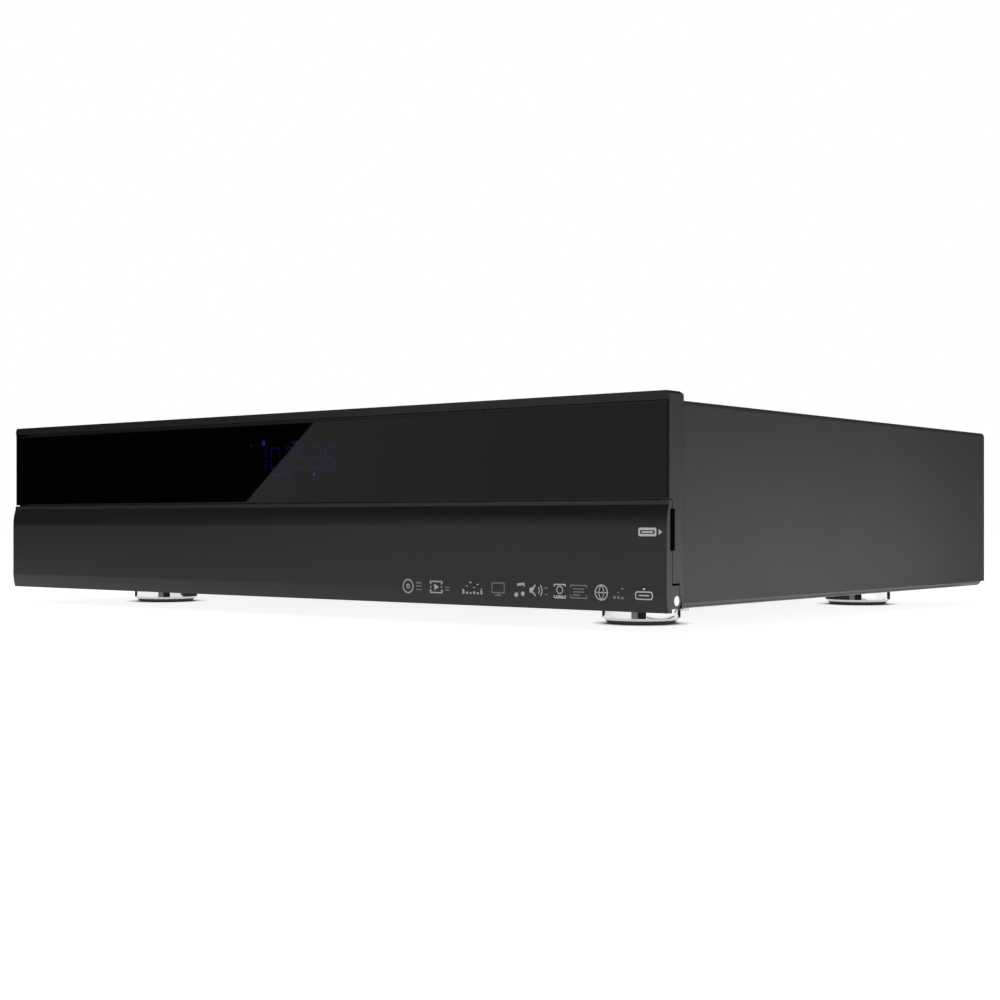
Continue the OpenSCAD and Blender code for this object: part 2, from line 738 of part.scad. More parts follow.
// Side view of the hinge lug at each end of the door
module lug_outline() {
    polygon([
        [door_rear - 0.5, door_z0 + heel_rise], [pin_y, pin_z - lug_r], [pin_y, pin_z],
        [lug_rear_y, pin_z], [lug_rear_y, door_z0 + lug_h], [door_rear - 0.5, door_z0 + lug_h]
    ]);
    translate([pin_y, pin_z]) circle(lug_r);
}

// Flip-down door: a swept extrusion with a hinge lug at each end and a milled pocket behind
module door_panel() color([0.24, 0.24, 0.24]) from_front() difference() {
    union() {
        along_x(-half_w, half_w) door_outline();
        both_sides() along_x(lug_x0, half_w) lug_outline();
    }
    both_sides() rod_x(lug_x0 - 1, half_w + 1, pin_y, pin_z, pin_r + run_fit);
    block([-pocket_x, door_rear - door_pocket, door_z0 + 7], [pocket_x, door_rear + 1, pocket_top]);
    // finger bevel behind the right end
    translate([half_w, door_rear, slot_z0]) rotate([0, 0, 45])
        translate([-1, -1, 0]) cube([2, 2, slot_h]);
}

// Steel plates in the door's pocket that the magnets hold
module door_strikes() color("silver") from_front() both_sides()
    block([magnet_x - 9, door_rear - door_pocket, magnet_z - magnet_r],
        [magnet_x + 9, door_rear - door_pocket + strike_t, pocket_top - 0.2]);

module hinge_pins() color("white") from_front() both_sides()
    rod_x(bracket_x0, half_w - 0.1, pin_y, pin_z, pin_r);

// Steel angles that carry the pins and tie the cheeks to the pan
module hinge_brackets() color("gray") from_front() both_sides() difference() {
    union() {
        along_x(bracket_x0, bracket_x1) {
            translate([pin_y, pin_z]) circle(bracket_nose_r);
            translate([pin_y, pan_top]) square([bracket_len, pin_z - pan_top + 2]);
            translate([pin_y, pan_top]) square([bezel_d - pin_y, door_h - 12]);
        }
        block([bracket_x0 - bracket_foot_w, fascia_y1 + 0.5, pan_top],
            [bracket_x1, pin_y + bracket_len, pan_top + 2]);
    }
    rod_x(bracket_x0 - 1, bracket_x1 + 1, pin_y, pin_z, pin_r + screw_bite);
    for (z = bracket_screw_z) rod_x(bracket_x0 - 1, bracket_x1 + 1, bracket_screw_y, z, screw_hole_r);
    rod_z(bracket_x0 - bracket_foot_w / 2, bracket_foot_y, pan_top - 1, pan_top + 3, screw_r + screw_bite);
}

// ---------- Feet and fasteners ----------

module foot_places() {
    for (sx = [-1, 1], y = [foot_front, body_d - foot_rear])
        translate([sx * (half_w - foot_side), y, 0]) children();
}

// Chromed cups with a screw boss in the middle
module feet() color("gainsboro") from_front() foot_places() rotate_extrude($fn = 96) polygon([
    [foot_screw_head_r + 0.3, pad_h], [pad_r0 - 0.1, pad_h], [pad_r0 - 0.1, pad_h + pad_seat],
    [pad_r1 + 0.1, pad_h + pad_seat], [pad_r1 + 0.1, pad_h], [foot_r - foot_chamfer, pad_h],
    [foot_r, pad_h + foot_chamfer], [foot_r, foot_h], [foot_r - foot_wall, foot_h],
    [foot_r - foot_wall, foot_floor_z], [foot_boss_r, foot_floor_z], [foot_boss_r, foot_h],
    [foot_screw_r + 0.3, foot_h], [foot_screw_r + 0.3, foot_seat_z], [foot_screw_head_r + 0.3, foot_seat_z]
]);

module foot_pads() color([0.08, 0.08, 0.08]) from_front() foot_places() difference() {
    rod_z(0, 0, 0, pad_h + pad_seat - 0.05, pad_r1);
    rod_z(0, 0, -1, pad_h + pad_seat + 1, pad_r0);
}

module foot_screws() color("silver") from_front() foot_places() {
    rod_z(0, 0, foot_seat_z - 2.2, foot_seat_z, foot_screw_head_r);
    rod_z(0, 0, foot_seat_z - 0.1, pan_top + 2, foot_screw_r);
}

// Screw places on the pan's underside: brackets, drive cage and fascia
module pan_screw_places() {
    both_sides() translate([bracket_x0 - bracket_foot_w / 2, bracket_foot_y, foot_h])
        rotate([180, 0, 0]) children();
    for (x = [cage_x0 - cage_foot_w / 2, cage_x1 + cage_foot_w / 2], y = cage_foot_y)
        translate([x, y, foot_h]) rotate([180, 0, 0]) children();
    for (x = fascia_tab_x) translate([x, fascia_y1 + 5, foot_h]) rotate([180, 0, 0]) children();
}

module case_screws() color("silver") from_front() {
    pan_screw_places() screw();
    for (x = cover_screw_x) translate([x, body_d, cover_screw_z]) rotate([-90, 0, 0]) screw();
    for (x = rear_screw_x) translate([x, rear_y, rear_screw_z0]) rotate([-90, 0, 0]) screw();
    for (x = fascia_lug_x) translate([x, back_plate_y1 + 2.1, fascia_lug_z]) rotate([-90, 0, 0]) screw();
    both_sides() for (z = bracket_screw_z)
        translate([bracket_x0, bracket_screw_y, z]) rotate([0, -90, 0]) screw();
    for (sx = [-1, 1], sz = [-1, 1])
        translate([fan_x + sx * fan_screw_pitch / 2, rear_y, fan_z + sz * fan_screw_pitch / 2])
            rotate([-90, 0, 0]) screw();
}

// ---------- Drive bays ----------

// Folded cage round the two trays, open in front and below
module drive_cage() color("silver") from_front() difference() {
    union() {
        for (i = [0:2])
            translate([cage_x0 + i * bay_pitch, 0, 0])
                block([0, cage_y0, pan_top + 0.1], [cage_t, cage_y1, cage_z1]);
        block([cage_x0, cage_y0, cage_z1 - cage_t], [cage_x1, cage_y1, cage_z1]);
        for (y = cage_foot_y) {
            block([cage_x0 - cage_foot_w, y - 8, pan_top], [cage_x0 + cage_t, y + 8, pan_top + cage_t]);
            block([cage_x1 - cage_t, y - 8, pan_top], [cage_x1 + cage_foot_w, y + 8, pan_top + cage_t]);
        }
    }
    for (x = [cage_x0 - cage_foot_w / 2, cage_x1 + cage_foot_w / 2], y = cage_foot_y)
        rod_z(x, y, pan_top - 1, pan_top + 3, screw_r + screw_bite);
    // cooling slots in the top and windows in the walls
    for (x = bay_x, row = [1:7])
        translate([x, drive_y0 + row * cage_len / 9, cage_z1 - 2 * cage_t])
            linear_extrude(3 * cage_t) slot(0.66 * tray_w, 6);
    for (row = [0:3])
        along_x(cage_x0 - 1, cage_x1 + 1)
            translate([drive_y0 + (row + 0.7) * cage_len / 5, cage_z1 - 6.5]) slot(0.13 * cage_len, 5);
}

// Plastic channels that the trays' runners slide in
module tray_guides() color([0.12, 0.12, 0.12]) from_front()
    for (x = bay_x) translate([x, 0, 0]) both_sides() difference() {
        block([tray_w / 2 + tray_gap, guide_y0, runner_z0 - 3],
            [tray_w / 2 + tray_gap + guide_t, guide_y1, runner_z0 - 3 + guide_h]);
        block([tray_w / 2, guide_y0 - 1, runner_z0 - 0.1],
            [tray_w / 2 + runner_out + 2 * tray_gap, guide_y1 + 1, runner_z0 + runner_h + 0.3]);
    }

// Board across the back of the cage
module backplane_board() color("darkgreen") from_front() difference() {
    block([cage_x0, backplane_y0, pan_top + 3], [cage_x1, backplane_y0 + pcb_t, cage_z1]);
    for (x = bay_x)
        along_y(backplane_y0 - 1, backplane_y0 + pcb_t + 1)
            translate([x, drive_z0 + 18]) square([76, 10], center = true);
}

// One wide socket per drive, with the blade slot that the drive plugs into
module drive_sockets() color([0.08, 0.08, 0.08]) from_front()
    for (x = bay_x) difference() {
        block([x - 2, socket_y0, drive_z0 + 1.5], [x + 40, backplane_y0, drive_z0 + 8]);
        block([x, socket_y0 - 1, drive_z0 + 3.2], [x + 38, backplane_y0 - 1.5, drive_z0 + 5.8]);
    }

// Carrier of one drive: floor and two walls with runners
module tray(x) from_front() translate([x, 0, 0]) difference() {
    union() {
        block([-tray_w / 2, tray_y0, tray_z0], [tray_w / 2, tray_y1, drive_z0]);
        both_sides() {
            block([tray_w / 2 - tray_t, tray_y0, tray_z0], [tray_w / 2, tray_y1, drive_z0 + tray_wall_h]);
            block([tray_w / 2 - 0.2, tray_y0 + 10, runner_z0],
                [tray_w / 2 + runner_out, tray_y1 - 4, runner_z0 + runner_h]);
        }
    }
    // openings in the floor and the walls
    tray_len = tray_y1 - tray_y0;
    for (row = [0:3])
        translate([0, tray_y0 + (row + 0.72) * 0.235 * tray_len, tray_z0 - 1])
            linear_extrude(tray_t + 2) round_rect(tray_opening_w, 0.156 * tray_len, 4);
    for (row = [0:2])
        along_x(-tray_w, tray_w)
            translate([tray_y0 + (row + 0.64) * 0.31 * tray_len, drive_z0 + tray_wall_h - 5])
                slot(0.185 * tray_len, 5);
    // holes for the drive's bottom screws
    for (d = floor_holes, s = [-1, 1])
        rod_z(s * floor_hole_x, drive_y1 - d, tray_z0 - 1, drive_z0 + 1, drive_hole_r);
}

// Moulded front of a tray: face with a pocket for the folding handle, rim and a plate behind
module tray_front(x) from_front() translate([x, 0, 0]) difference() {
    union() {
        difference() {
            along_y(tray_face_y, tray_plate_y1)
                translate([0, light_z]) round_rect(tray_front_w, tray_front_h, 1.5);
            block([-tray_front_w / 2 + 2, tray_face_y + 2.2, tray_front_z0 + 2],
                [tray_front_w / 2 - 2, tray_plate_y0, tray_front_z1 - 2]);
        }
        block([-pocket_w / 2 - pocket_rim, tray_face_y + 0.5, tray_front_z0 + 0.5],
            [pocket_w / 2 + pocket_rim, tray_face_y + pocket_d + 1.6, tray_front_z1 - 0.5]);
        rod_y(light_x, tray_face_y + 1, tray_face_y + 6, light_z, light_r + 1.4);
    }
    along_y(tray_face_y - 1, tray_face_y + pocket_d)
        translate([0, (pocket_z0 + pocket_z1) / 2]) round_rect(pocket_w, pocket_z1 - pocket_z0, 1.2);
    both_sides()
        rod_x(pocket_w / 2 - 1, pocket_w / 2 + pocket_rim + 1, bail_y, bail_z, bail_pin_r + screw_bite);
    rod_y(light_x, tray_face_y - 1, tray_plate_y0, light_z, light_r + screw_bite);
    // window in the plate
    along_y(tray_plate_y0 - 0.5, tray_plate_y1 + 1)
        translate([0, light_z]) square([tray_opening_w, 0.4 * tray_front_h], center = true);
    // air slots beside the pocket
    both_sides() for (i = [0:2])
        along_y(tray_face_y - 1, tray_face_y + 3)
            translate([pocket_w / 2 + 5.5 + 4 * i, light_z]) rotate(90) slot(tray_front_h - 12, 1.8);
}

// Clear pipe that shows a tray's status light
module light_pipe(x) from_front()
    rod_y(x + light_x, tray_face_y - 0.2, tray_plate_y0 - 1, light_z, light_r);

// Short steel pins that the bail swings on
module handle_pins(x) from_front() translate([x, 0, 0]) both_sides()
    rod_x(bail_w / 2 - bail_t, pocket_w / 2 + pocket_rim, bail_y, bail_z, bail_pin_r);

// Bail handle hanging in its pocket: two arms and a round-edged bar
module tray_handle(x) from_front() translate([x, 0, 0]) difference() {
    union() {
        both_sides() along_x(bail_w / 2 - bail_t, bail_w / 2) {
            translate([bail_y, bail_z]) circle(bail_t / 2);
            translate([bail_y - bail_t / 2, bail_z - bail_len]) square([bail_t, bail_len]);
        }
        along_x(-bail_w / 2, bail_w / 2) {
            translate([bail_y, bail_z - bail_len]) circle(bail_t / 2);
            translate([bail_y - bail_t / 2, bail_z - bail_len]) square([bail_t, bail_t * 0.6]);
        }
    }
    rod_x(-bail_w, bail_w, bail_y, bail_z, bail_pin_r + run_fit);
}

module tray_left() color("lightgray") tray(bay_x[0]);
module tray_right() color("lightgray") tray(bay_x[1]);
module tray_front_left() color([0.14, 0.14, 0.14]) tray_front(bay_x[0]);
module tray_front_right() color([0.14, 0.14, 0.14]) tray_front(bay_x[1]);
module light_pipe_left() color("lightblue") light_pipe(bay_x[0]);
module light_pipe_right() color("lightblue") light_pipe(bay_x[1]);
module handle_pins_left() color("silver") handle_pins(bay_x[0]);
module handle_pins_right() color("silver") handle_pins(bay_x[1]);
module tray_handle_left() color("gray") tray_handle(bay_x[0]);
module tray_handle_right() color("gray") tray_handle(bay_x[1]);

// ---------- Boards and electronics ----------

// A flat board with one screw hole near each corner
module board(x0, y0, x1, y1, z0) difference() {
    block([x0, y0, z0], [x1, y1, z0 + pcb_t]);
    corner_places(x0, y0, x1, y1) rod_z(0, 0, z0 - 1, z0 + pcb_t + 1, screw_hole_r);
}

module corner_places(x0, y0, x1, y1) {
    for (x = [x0 + spacer_inset, x1 - spacer_inset], y = [y0 + spacer_inset, y1 - spacer_inset])
        translate([x, y, 0]) children();
}

module main_places() corner_places(main_x0, main_y0, main_x1, main_y1) children();
module supply_places() corner_places(supply_x0, supply_y0, supply_x1, supply_y1) children();

module main_board() color("darkgreen") from_front() board(main_x0, main_y0, main_x1, main_y1, board_z0);
module supply_board() color("olive") from_front() board(supply_x0, supply_y0, supply_x1, supply_y1, board_z0);

// Hexagonal spacers pressed into the pan
module board_spacers() color("goldenrod") from_front() {
    main_places() spacer();
    supply_places() spacer();
}

module spacer() difference() {
    translate([0, 0, pan_top]) cylinder(h = spacer_h, r = spacer_r, $fn = 6);
    rod_z(0, 0, pan_top - 1, board_z0 + 1, screw_r + screw_bite);
}

module board_screws() color("silver") from_front() {
    main_places() translate([0, 0, board_z1]) screw();
    supply_places() translate([0, 0, board_z1]) screw();
    for (x = front_ledge_x) translate([x, front_board_y1 - 5, front_board_z1]) screw(4);
    for (sx = [-1, 1], sz = [-1, 1])
        translate([display_x + sx * display_boss_x, display_board_y + pcb_t, display_z + sz * display_boss_z])
            rotate([-90, 0, 0]) screw();
}

// Chips on the main board: the processor below its heatsink, four memories and a bridge
module board_chips() color([0.08, 0.08, 0.08]) from_front() {
    chip(heatsink_x, heatsink_y, processor_w, processor_w, chip_h);
    for (i = [-1.5:1.5])
        chip(memory_x, heatsink_y + i * memory_pitch, memory_w, memory_d, memory_h);
    chip(memory_x, bridge_y, bridge_w, bridge_w, bridge_h);
    chip(main_x1 - 0.18 * main_w, bridge_y, memory_w, memory_w, memory_h);
}

module chip(x, y, w, d, h) translate([x - w / 2, y - d / 2, board_z1]) cube([w, d, h]);

// Finned aluminium block on the processor
module heatsink() color("silver") from_front() {
    fin_pitch = (heatsink_w - heatsink_fin_t) / (heatsink_fins - 1);
    along_y(heatsink_y - heatsink_w / 2, heatsink_y + heatsink_w / 2)
        translate([heatsink_x - heatsink_w / 2, board_z1 + chip_h]) {
            square([heatsink_w, heatsink_base]);
            for (i = [0:heatsink_fins - 1])
                translate([i * fin_pitch, heatsink_base - 0.1])
                    square([heatsink_fin_t, heatsink_h - heatsink_base + 0.1]);
        }
}

// Sockets for the picture signal, standing on the board's rear edge
module hdmi_ports() color("silver") from_front() for (x = hdmi_x) translate([x, 0, board_z1]) {
    difference() {
        along_y(port_y1 - 12, port_y1) translate([0, 3.1]) hdmi_outline(hdmi_w, 6.2);
        along_y(port_y1 - 9, port_y1 + 1) translate([0, 3.1]) hdmi_outline(hdmi_w - 1.2, 4.9);
    }
    block([-5.9, port_y1 - 9.5, 2.8], [5.9, port_y1 - 1, 4]);
}

// Flat socket outline with its two lower corners cut
module hdmi_outline(w, h) {
    cut = h * 0.35;
    polygon([
        [-w / 2, h / 2], [-w / 2, -h / 2 + cut], [-w / 2 + cut, -h / 2], [w / 2 - cut, -h / 2],
        [w / 2, -h / 2 + cut], [w / 2, h / 2]
    ]);
}

// Network socket with a latch notch
module lan_port() color("silver") from_front() translate([lan_x, 0, board_z1]) difference() {
    block([-lan_w / 2, port_y1 - 21, 0], [lan_w / 2, port_y1, 13.6]);
    block([-5.9, port_y1 - 13, 2.2], [5.9, port_y1 + 1, 10]);
    block([-3, port_y1 - 13, 1], [3, port_y1 + 1, 3]);
}

// Two stacked serial-bus sockets
module rear_usb_port() color("silver") from_front() translate([usb_x, 0, board_z1]) {
    difference() {
        block([-usb_stack_w / 2, port_y1 - 17, 0], [usb_stack_w / 2, port_y1, 15.8]);
        for (z = [1.4, 9.2]) block([-6.3, port_y1 - 12, z], [6.3, port_y1 + 1, z + 5.2]);
    }
    for (z = [1.4, 9.2]) block([-5.6, port_y1 - 12.5, z + 2.9], [5.6, port_y1 - 1, z + 4.7]);
}

// Optical sound output with its dust door shut
module optical_port() color([0.1, 0.1, 0.1]) from_front() translate([optical_x, 0, board_z1]) difference() {
    block([-optical_w / 2, port_y1 - 13, 0], [optical_w / 2, port_y1, 11.2]);
    along_y(port_y1 - 1.2, port_y1 + 1) translate([0, 5.6]) round_rect(7.6, 7.6, 1.2);
}

// Screened sound jacks on their moulded blocks
module audio_jacks() color("gold") from_front() for (x = jack_x) translate([x, 0, 0]) difference() {
    union() {
        block([-jack_w / 2, rear_in_y - 11.8, board_z1], [jack_w / 2, rear_in_y - 0.3, jack_z + 5]);
        rod_y(0, rear_in_y - 0.4, rear_y + 1, jack_z, jack_r - 0.5);
        rod_y(0, rear_y, rear_y + jack_len, jack_z, jack_r);
    }
    rod_y(0, rear_y - 1, rear_y + jack_len + 1, jack_z, 1.7);
    difference() {
        rod_y(0, rear_y + 1, rear_y + jack_len + 1, jack_z, jack_r - 0.8);
        rod_y(0, rear_y, rear_y + jack_len + 2, jack_z, 2.6);
    }
}

// Threaded antenna sockets held by a nut on each side of the panel
module antenna_sockets() color("gold") from_front() for (x = antenna_x) translate([x, 0, 0]) difference() {
    union() {
        rod_y(0, rear_in_y - 9, socket_tip_y, antenna_z, antenna_r);
        translate([0, rear_y + 0.05, antenna_z]) rotate([-90, 0, 0]) cylinder(h = 2, r = 4.6, $fn = 6);
        translate([0, rear_in_y - 2.05, antenna_z]) rotate([-90, 0, 0]) cylinder(h = 2, r = 4.6, $fn = 6);
    }
    rod_y(0, rear_y + 3, socket_tip_y + 1, antenna_z, 2.2);
}

// Small board behind the power button and the front socket
module front_board() color("darkgreen") from_front() difference() {
    block([front_board_x0, front_board_y0, front_board_z0],
        [front_board_x1, front_board_y1, front_board_z1]);
    for (x = front_ledge_x)
        rod_z(x, front_board_y1 - 5, front_board_z0 - 1, front_board_z1 + 1, screw_hole_r);
}

// Serial-bus socket on the front board
module front_usb_port() color("silver") from_front()
    translate([front_usb_x, fascia_y0 + 0.3, front_board_z1]) {
        difference() {
            block([-usb_w / 2, 0, 0], [usb_w / 2, 17, usb_h]);
            block([-usb_w / 2 + 0.4, -1, 0.4], [usb_w / 2 - 0.4, 12, usb_h - 0.4]);
        }
        block([-usb_w / 2 + 1, 1, usb_h - 2.6], [usb_w / 2 - 1, 12.5, usb_h - 0.8]);
    }

// Push switch whose bore takes the button's stem
module power_switch() color("dimgray") from_front() difference() {
    block([button_x - 3.5, switch_y0, front_board_z1], [button_x + 3.5, switch_y0 + 7, front_board_z1 + 6]);
    rod_y(button_x, switch_y0 - 1, switch_y0 + 4, button_z, stem_r + run_fit);
}

// Power button: cap through the fascia, flange behind it and a stem in the switch
module power_button() color("silver") from_front() {
    rod_y(button_x, fascia_y0 - button_proud, button_back_y, button_z, button_r);
    rod_y(button_x, button_back_y - 1, button_back_y, button_z, button_flange_r);
    rod_y(button_x, button_back_y - 0.1, switch_y0 + 4 - button_travel - 0.3, button_z, stem_r);
}

module display_board() color("darkgreen") from_front() difference() {
    block([display_x - display_boss_x - 4.5, display_board_y, display_z - display_boss_z - 4],
        [display_x + display_boss_x + 4.5, display_board_y + pcb_t, display_z + display_boss_z + 4]);
    for (sx = [-1, 1], sz = [-1, 1])
        rod_y(display_x + sx * display_boss_x, display_board_y - 1, display_board_y + pcb_t + 1,
            display_z + sz * display_boss_z, screw_hole_r);
}

// Segment display that shines through the glass
module display_module() color([0.1, 0.1, 0.14]) from_front()
    block([display_x - display_w / 2, glass_t + 0.3, display_z - display_h / 2],
        [display_x + display_w / 2, display_board_y, display_z + display_h / 2]);

// Wound transformer of the power supply: core, bobbin cheeks and winding
module transformer() color("goldenrod") from_front() translate([transformer_x, transformer_y, board_z1]) {
    leg_x = core_w / 2 - core_t;
    core_mid_z = (core_z0 + core_z1) / 2;
    both_sides() block([leg_x, -core_d / 2, core_z0], [leg_x + core_t, core_d / 2, core_z1]);
    block([-leg_x - 0.5, -core_t, core_mid_z - core_t], [leg_x + 0.5, core_t, core_mid_z + core_t]);
    both_sides()
        block([winding_w / 2 - bobbin_t, 1 - core_d / 2, 0], [winding_w / 2, core_d / 2 - 1, core_z1 + 1]);
    rod_x(1 - winding_w / 2, winding_w / 2 - 1, 0, core_mid_z, winding_r);
}

module supply_capacitors() color([0.15, 0.15, 0.3]) from_front() {
    rod_z(supply_x0 + 0.155 * supply_w, supply_y0 + 0.306 * supply_d, board_z1, board_z1 + bulk_h, bulk_r);
    for (i = [0:3])
        rod_z(supply_x1 - 0.112 * supply_w, supply_y0 + 0.224 * supply_d + i * small_pitch, board_z1,
            board_z1 + small_h, small_r);
    translate([supply_x0 + 0.517 * supply_w, supply_y0 + 0.735 * supply_d, board_z1])
        cube([film_w, film_d, film_h]);
}

// Two upright aluminium plates with fins
module supply_heatsinks() color("silver") from_front() for (x = plate_x)
    translate([x, supply_y0 + 0.204 * supply_d, board_z1]) linear_extrude(plate_h) {
        square([plate_t, plate_len]);
        for (i = [0:4])
            translate([plate_t - 0.1, (i + 0.22) * plate_fin_pitch]) square([plate_fin_w, plate_fin_t]);
    }

// Insulating film below the power supply
module insulation_sheet() color([0.75, 0.75, 0.7, 0.6]) from_front() difference() {
    block([supply_x0 - 2, supply_y0 - 2, pan_top], [supply_x1 + 2, supply_y1 + 2, pan_top + sheet_gap]);
    foot_places() rod_z(0, 0, pan_top - 1, pan_top + 1, foot_screw_r + 1);
    supply_places() rod_z(0, 0, pan_top - 1, pan_top + 1, spacer_r + 0.2);
}

// ---------- Mains, switch and fan ----------

// Outline of the mains inlet's body, its lower corners cut
module inlet_outline(grow) {
    w = inlet_w / 2 + grow;
    h = inlet_h / 2 + grow;
    polygon([[-w, h], [-w, -h + 5], [-w + 5, -h], [w - 5, -h], [w, -h + 5], [w, h]]);
}

module mains_inlet() color([0.1, 0.1, 0.1]) from_front() translate([inlet_x, 0, inlet_z]) difference() {
    union() {
        along_y(rear_y - inlet_d, rear_y + 0.2) inlet_outline(0);
        along_y(rear_y + 0.05, rear_y + 3) inlet_outline(2);
    }
    along_y(rear_y + 3 - inlet_well, rear_y + 4) inlet_outline(-1.6);
    for (p = inlet_pin_places) translate([p[0], 0, p[1]]) inlet_pin(screw_bite);
}

// One flat blade of the inlet
module inlet_pin(grow)
    block([-1 - grow, rear_y - inlet_d - 4, -2 - grow], [1 + grow, rear_y - 1, 2 + grow]);

module inlet_pins() color("silver") from_front() for (p = inlet_pin_places)
    translate([inlet_x + p[0], 0, inlet_z + p[1]]) inlet_pin(0);

// Housing of the mains rocker with two bores for its trunnions
module rocker_housing() color([0.1, 0.1, 0.1]) from_front() translate([rocker_x, 0, inlet_z]) difference() {
    union() {
        along_y(rear_y - 14, rear_y + 0.2) square([13, 19], center = true);
        along_y(rear_y + 0.05, rear_y + 1.6) round_rect(15, 21, 1);
    }
    along_y(rear_y - 7, rear_y + 2) square([rocker_w + 0.6, 2 * rocker_half + 1.6], center = true);
    rod_x(-6.2, 6.2, rocker_y, 0, rocker_pin_r + run_fit);
}

// Rocker that tilts on its trunnions: two faces meeting in a shallow valley
module rocker() color([0.14, 0.14, 0.14]) from_front() translate([rocker_x, rocker_y, inlet_z])
    rotate([-rocker_throw, 0, 0]) {
        rise = rocker_half * tan(rocker_throw);
        along_x(-rocker_w / 2, rocker_w / 2) polygon([
            [-3, -4], [2.6 + rise, -rocker_half], [2.6, 0], [2.6 + rise, rocker_half], [-3, 4]
        ]);
        rod_x(-6, 6, 0, 0, rocker_pin_r);
    }

// Square fan frame with a hub carried on four arms at the back
module fan_frame() color([0.1, 0.1, 0.1]) from_front() translate([fan_x, 0, fan_z]) difference() {
    union() {
        difference() {
            along_y(fan_y0, fan_y1) round_rect(fan_w, fan_w, 3);
            rod_y(0, fan_y0 - 1, fan_y1 + 1, 0, fan_bore_r);
        }
        rod_y(0, fan_y1 - 2.5, fan_y1, 0, fan_hub_r);
        rod_y(0, fan_y0 + 3, fan_y1 - 1, 0, fan_shaft_r + 1.4);
        for (a = [45, 135]) along_y(fan_y1 - 2.5, fan_y1)
            rotate(a) square([2 * fan_bore_r + 2, 4], center = true);
    }
    rod_y(0, fan_y0, fan_y1 + 1, 0, fan_shaft_r + run_fit);
    for (x = [-1, 1] * fan_screw_pitch / 2, z = [-1, 1] * fan_screw_pitch / 2)
        rod_y(x, fan_y0 - 1, fan_y1 + 1, z, screw_r + screw_bite);
}

// Fan rotor: a cup round the frame's bearing tube, with pitched blades
module fan_rotor() color([0.14, 0.14, 0.14]) from_front() translate([fan_x, 0, fan_z]) {
    blade_y0 = fan_y0 + 0.8;
    blade_y1 = fan_y1 - 3.4;
    difference() {
        rod_y(0, blade_y0, blade_y1, 0, fan_hub_r);
        rod_y(0, blade_y0 + 1.6, blade_y1 + 1, 0, fan_hub_r - 1.4);
    }
    rod_y(0, blade_y0 + 0.5, fan_y1 - 1, 0, fan_shaft_r);
    intersection() {
        difference() {
            rod_y(0, blade_y0, blade_y1, 0, fan_bore_r - fan_gap);
            rod_y(0, blade_y0 - 1, blade_y1 + 1, 0, fan_hub_r - 0.4);
        }
        for (i = [0:fan_blades - 1])
            rotate([0, i * 360 / fan_blades, 0])
                translate([0, (blade_y0 + blade_y1) / 2, 0]) rotate([0, 0, 42])
                    translate([-12, -0.7, 0]) cube([24, 1.4, fan_bore_r]);
    }
}

base_pan();
top_cover();
rear_panel();
front_bezel();
front_glass();
bay_fascia();
hinge_brackets();
hinge_pins();
door_magnets();
feet();
foot_pads();
foot_screws();
case_screws();
drive_cage();
tray_guides();
backplane_board();
drive_sockets();
main_board();
board_chips();
heatsink();
board_spacers();
board_screws();
hdmi_ports();
lan_port();
rear_usb_port();
optical_port();
audio_jacks();
antenna_sockets();
front_board();
front_usb_port();
power_switch();
display_board();
display_module();
supply_board();
transformer();
supply_capacitors();
supply_heatsinks();
insulation_sheet();
mains_inlet();
inlet_pins();
rocker_housing();
fan_frame();
door_panel();
door_strikes();
tray_left();
tray_front_left();
light_pipe_left();
handle_pins_left();
tray_handle_left();
tray_right();
tray_front_right();
light_pipe_right();
handle_pins_right();
tray_handle_right();
power_button();
rocker();
fan_rotor();
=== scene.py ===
"""Looks of the media player: camera, stage, light, materials and the printed and lit details."""

import math

import bmesh
import bpy
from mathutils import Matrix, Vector


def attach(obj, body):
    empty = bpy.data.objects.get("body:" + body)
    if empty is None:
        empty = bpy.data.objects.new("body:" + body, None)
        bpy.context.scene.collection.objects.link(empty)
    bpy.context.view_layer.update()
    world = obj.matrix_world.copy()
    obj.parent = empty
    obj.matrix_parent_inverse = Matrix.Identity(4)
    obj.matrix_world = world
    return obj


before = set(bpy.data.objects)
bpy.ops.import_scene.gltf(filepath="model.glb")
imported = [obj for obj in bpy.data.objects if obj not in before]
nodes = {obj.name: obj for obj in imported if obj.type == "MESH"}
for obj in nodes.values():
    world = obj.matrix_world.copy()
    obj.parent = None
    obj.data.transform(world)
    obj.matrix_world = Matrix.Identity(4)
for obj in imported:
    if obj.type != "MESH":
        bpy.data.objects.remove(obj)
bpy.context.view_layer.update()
scene = bpy.context.scene
scene.view_settings.view_transform = "Standard"

MM = 0.001
MID_Y = 162.7  # from the glass plane to the middle of the footprint


def place(x, y, z):
    """A point of the cabinet, in millimetres with Y from the glass plane, in the shared frame."""
    return (x * MM, (y - MID_Y) * MM, z * MM)


# ---------- Camera ----------

CAMERA_AT = (0.5552, -0.6973, 0.0451)
CAMERA_TURN = math.radians(38.49)
SENSOR_MM = 36.0
LENS_MM = 57.88
SHIFT = (-0.0001, 0.0213)
NEAREST = 0.01

camera_data = bpy.data.cameras.new("camera")
camera_data.sensor_width = SENSOR_MM
camera_data.lens = LENS_MM
camera_data.shift_x, camera_data.shift_y = SHIFT
camera_data.clip_start = NEAREST
camera = bpy.data.objects.new("camera", camera_data)
camera.location = CAMERA_AT
camera.rotation_euler = (math.pi / 2, 0.0, CAMERA_TURN)
scene.collection.objects.link(camera)
scene.camera = camera


# ---------- Stage and light ----------

def link(out_socket, in_socket):
    in_socket.id_data.links.new(out_socket, in_socket)


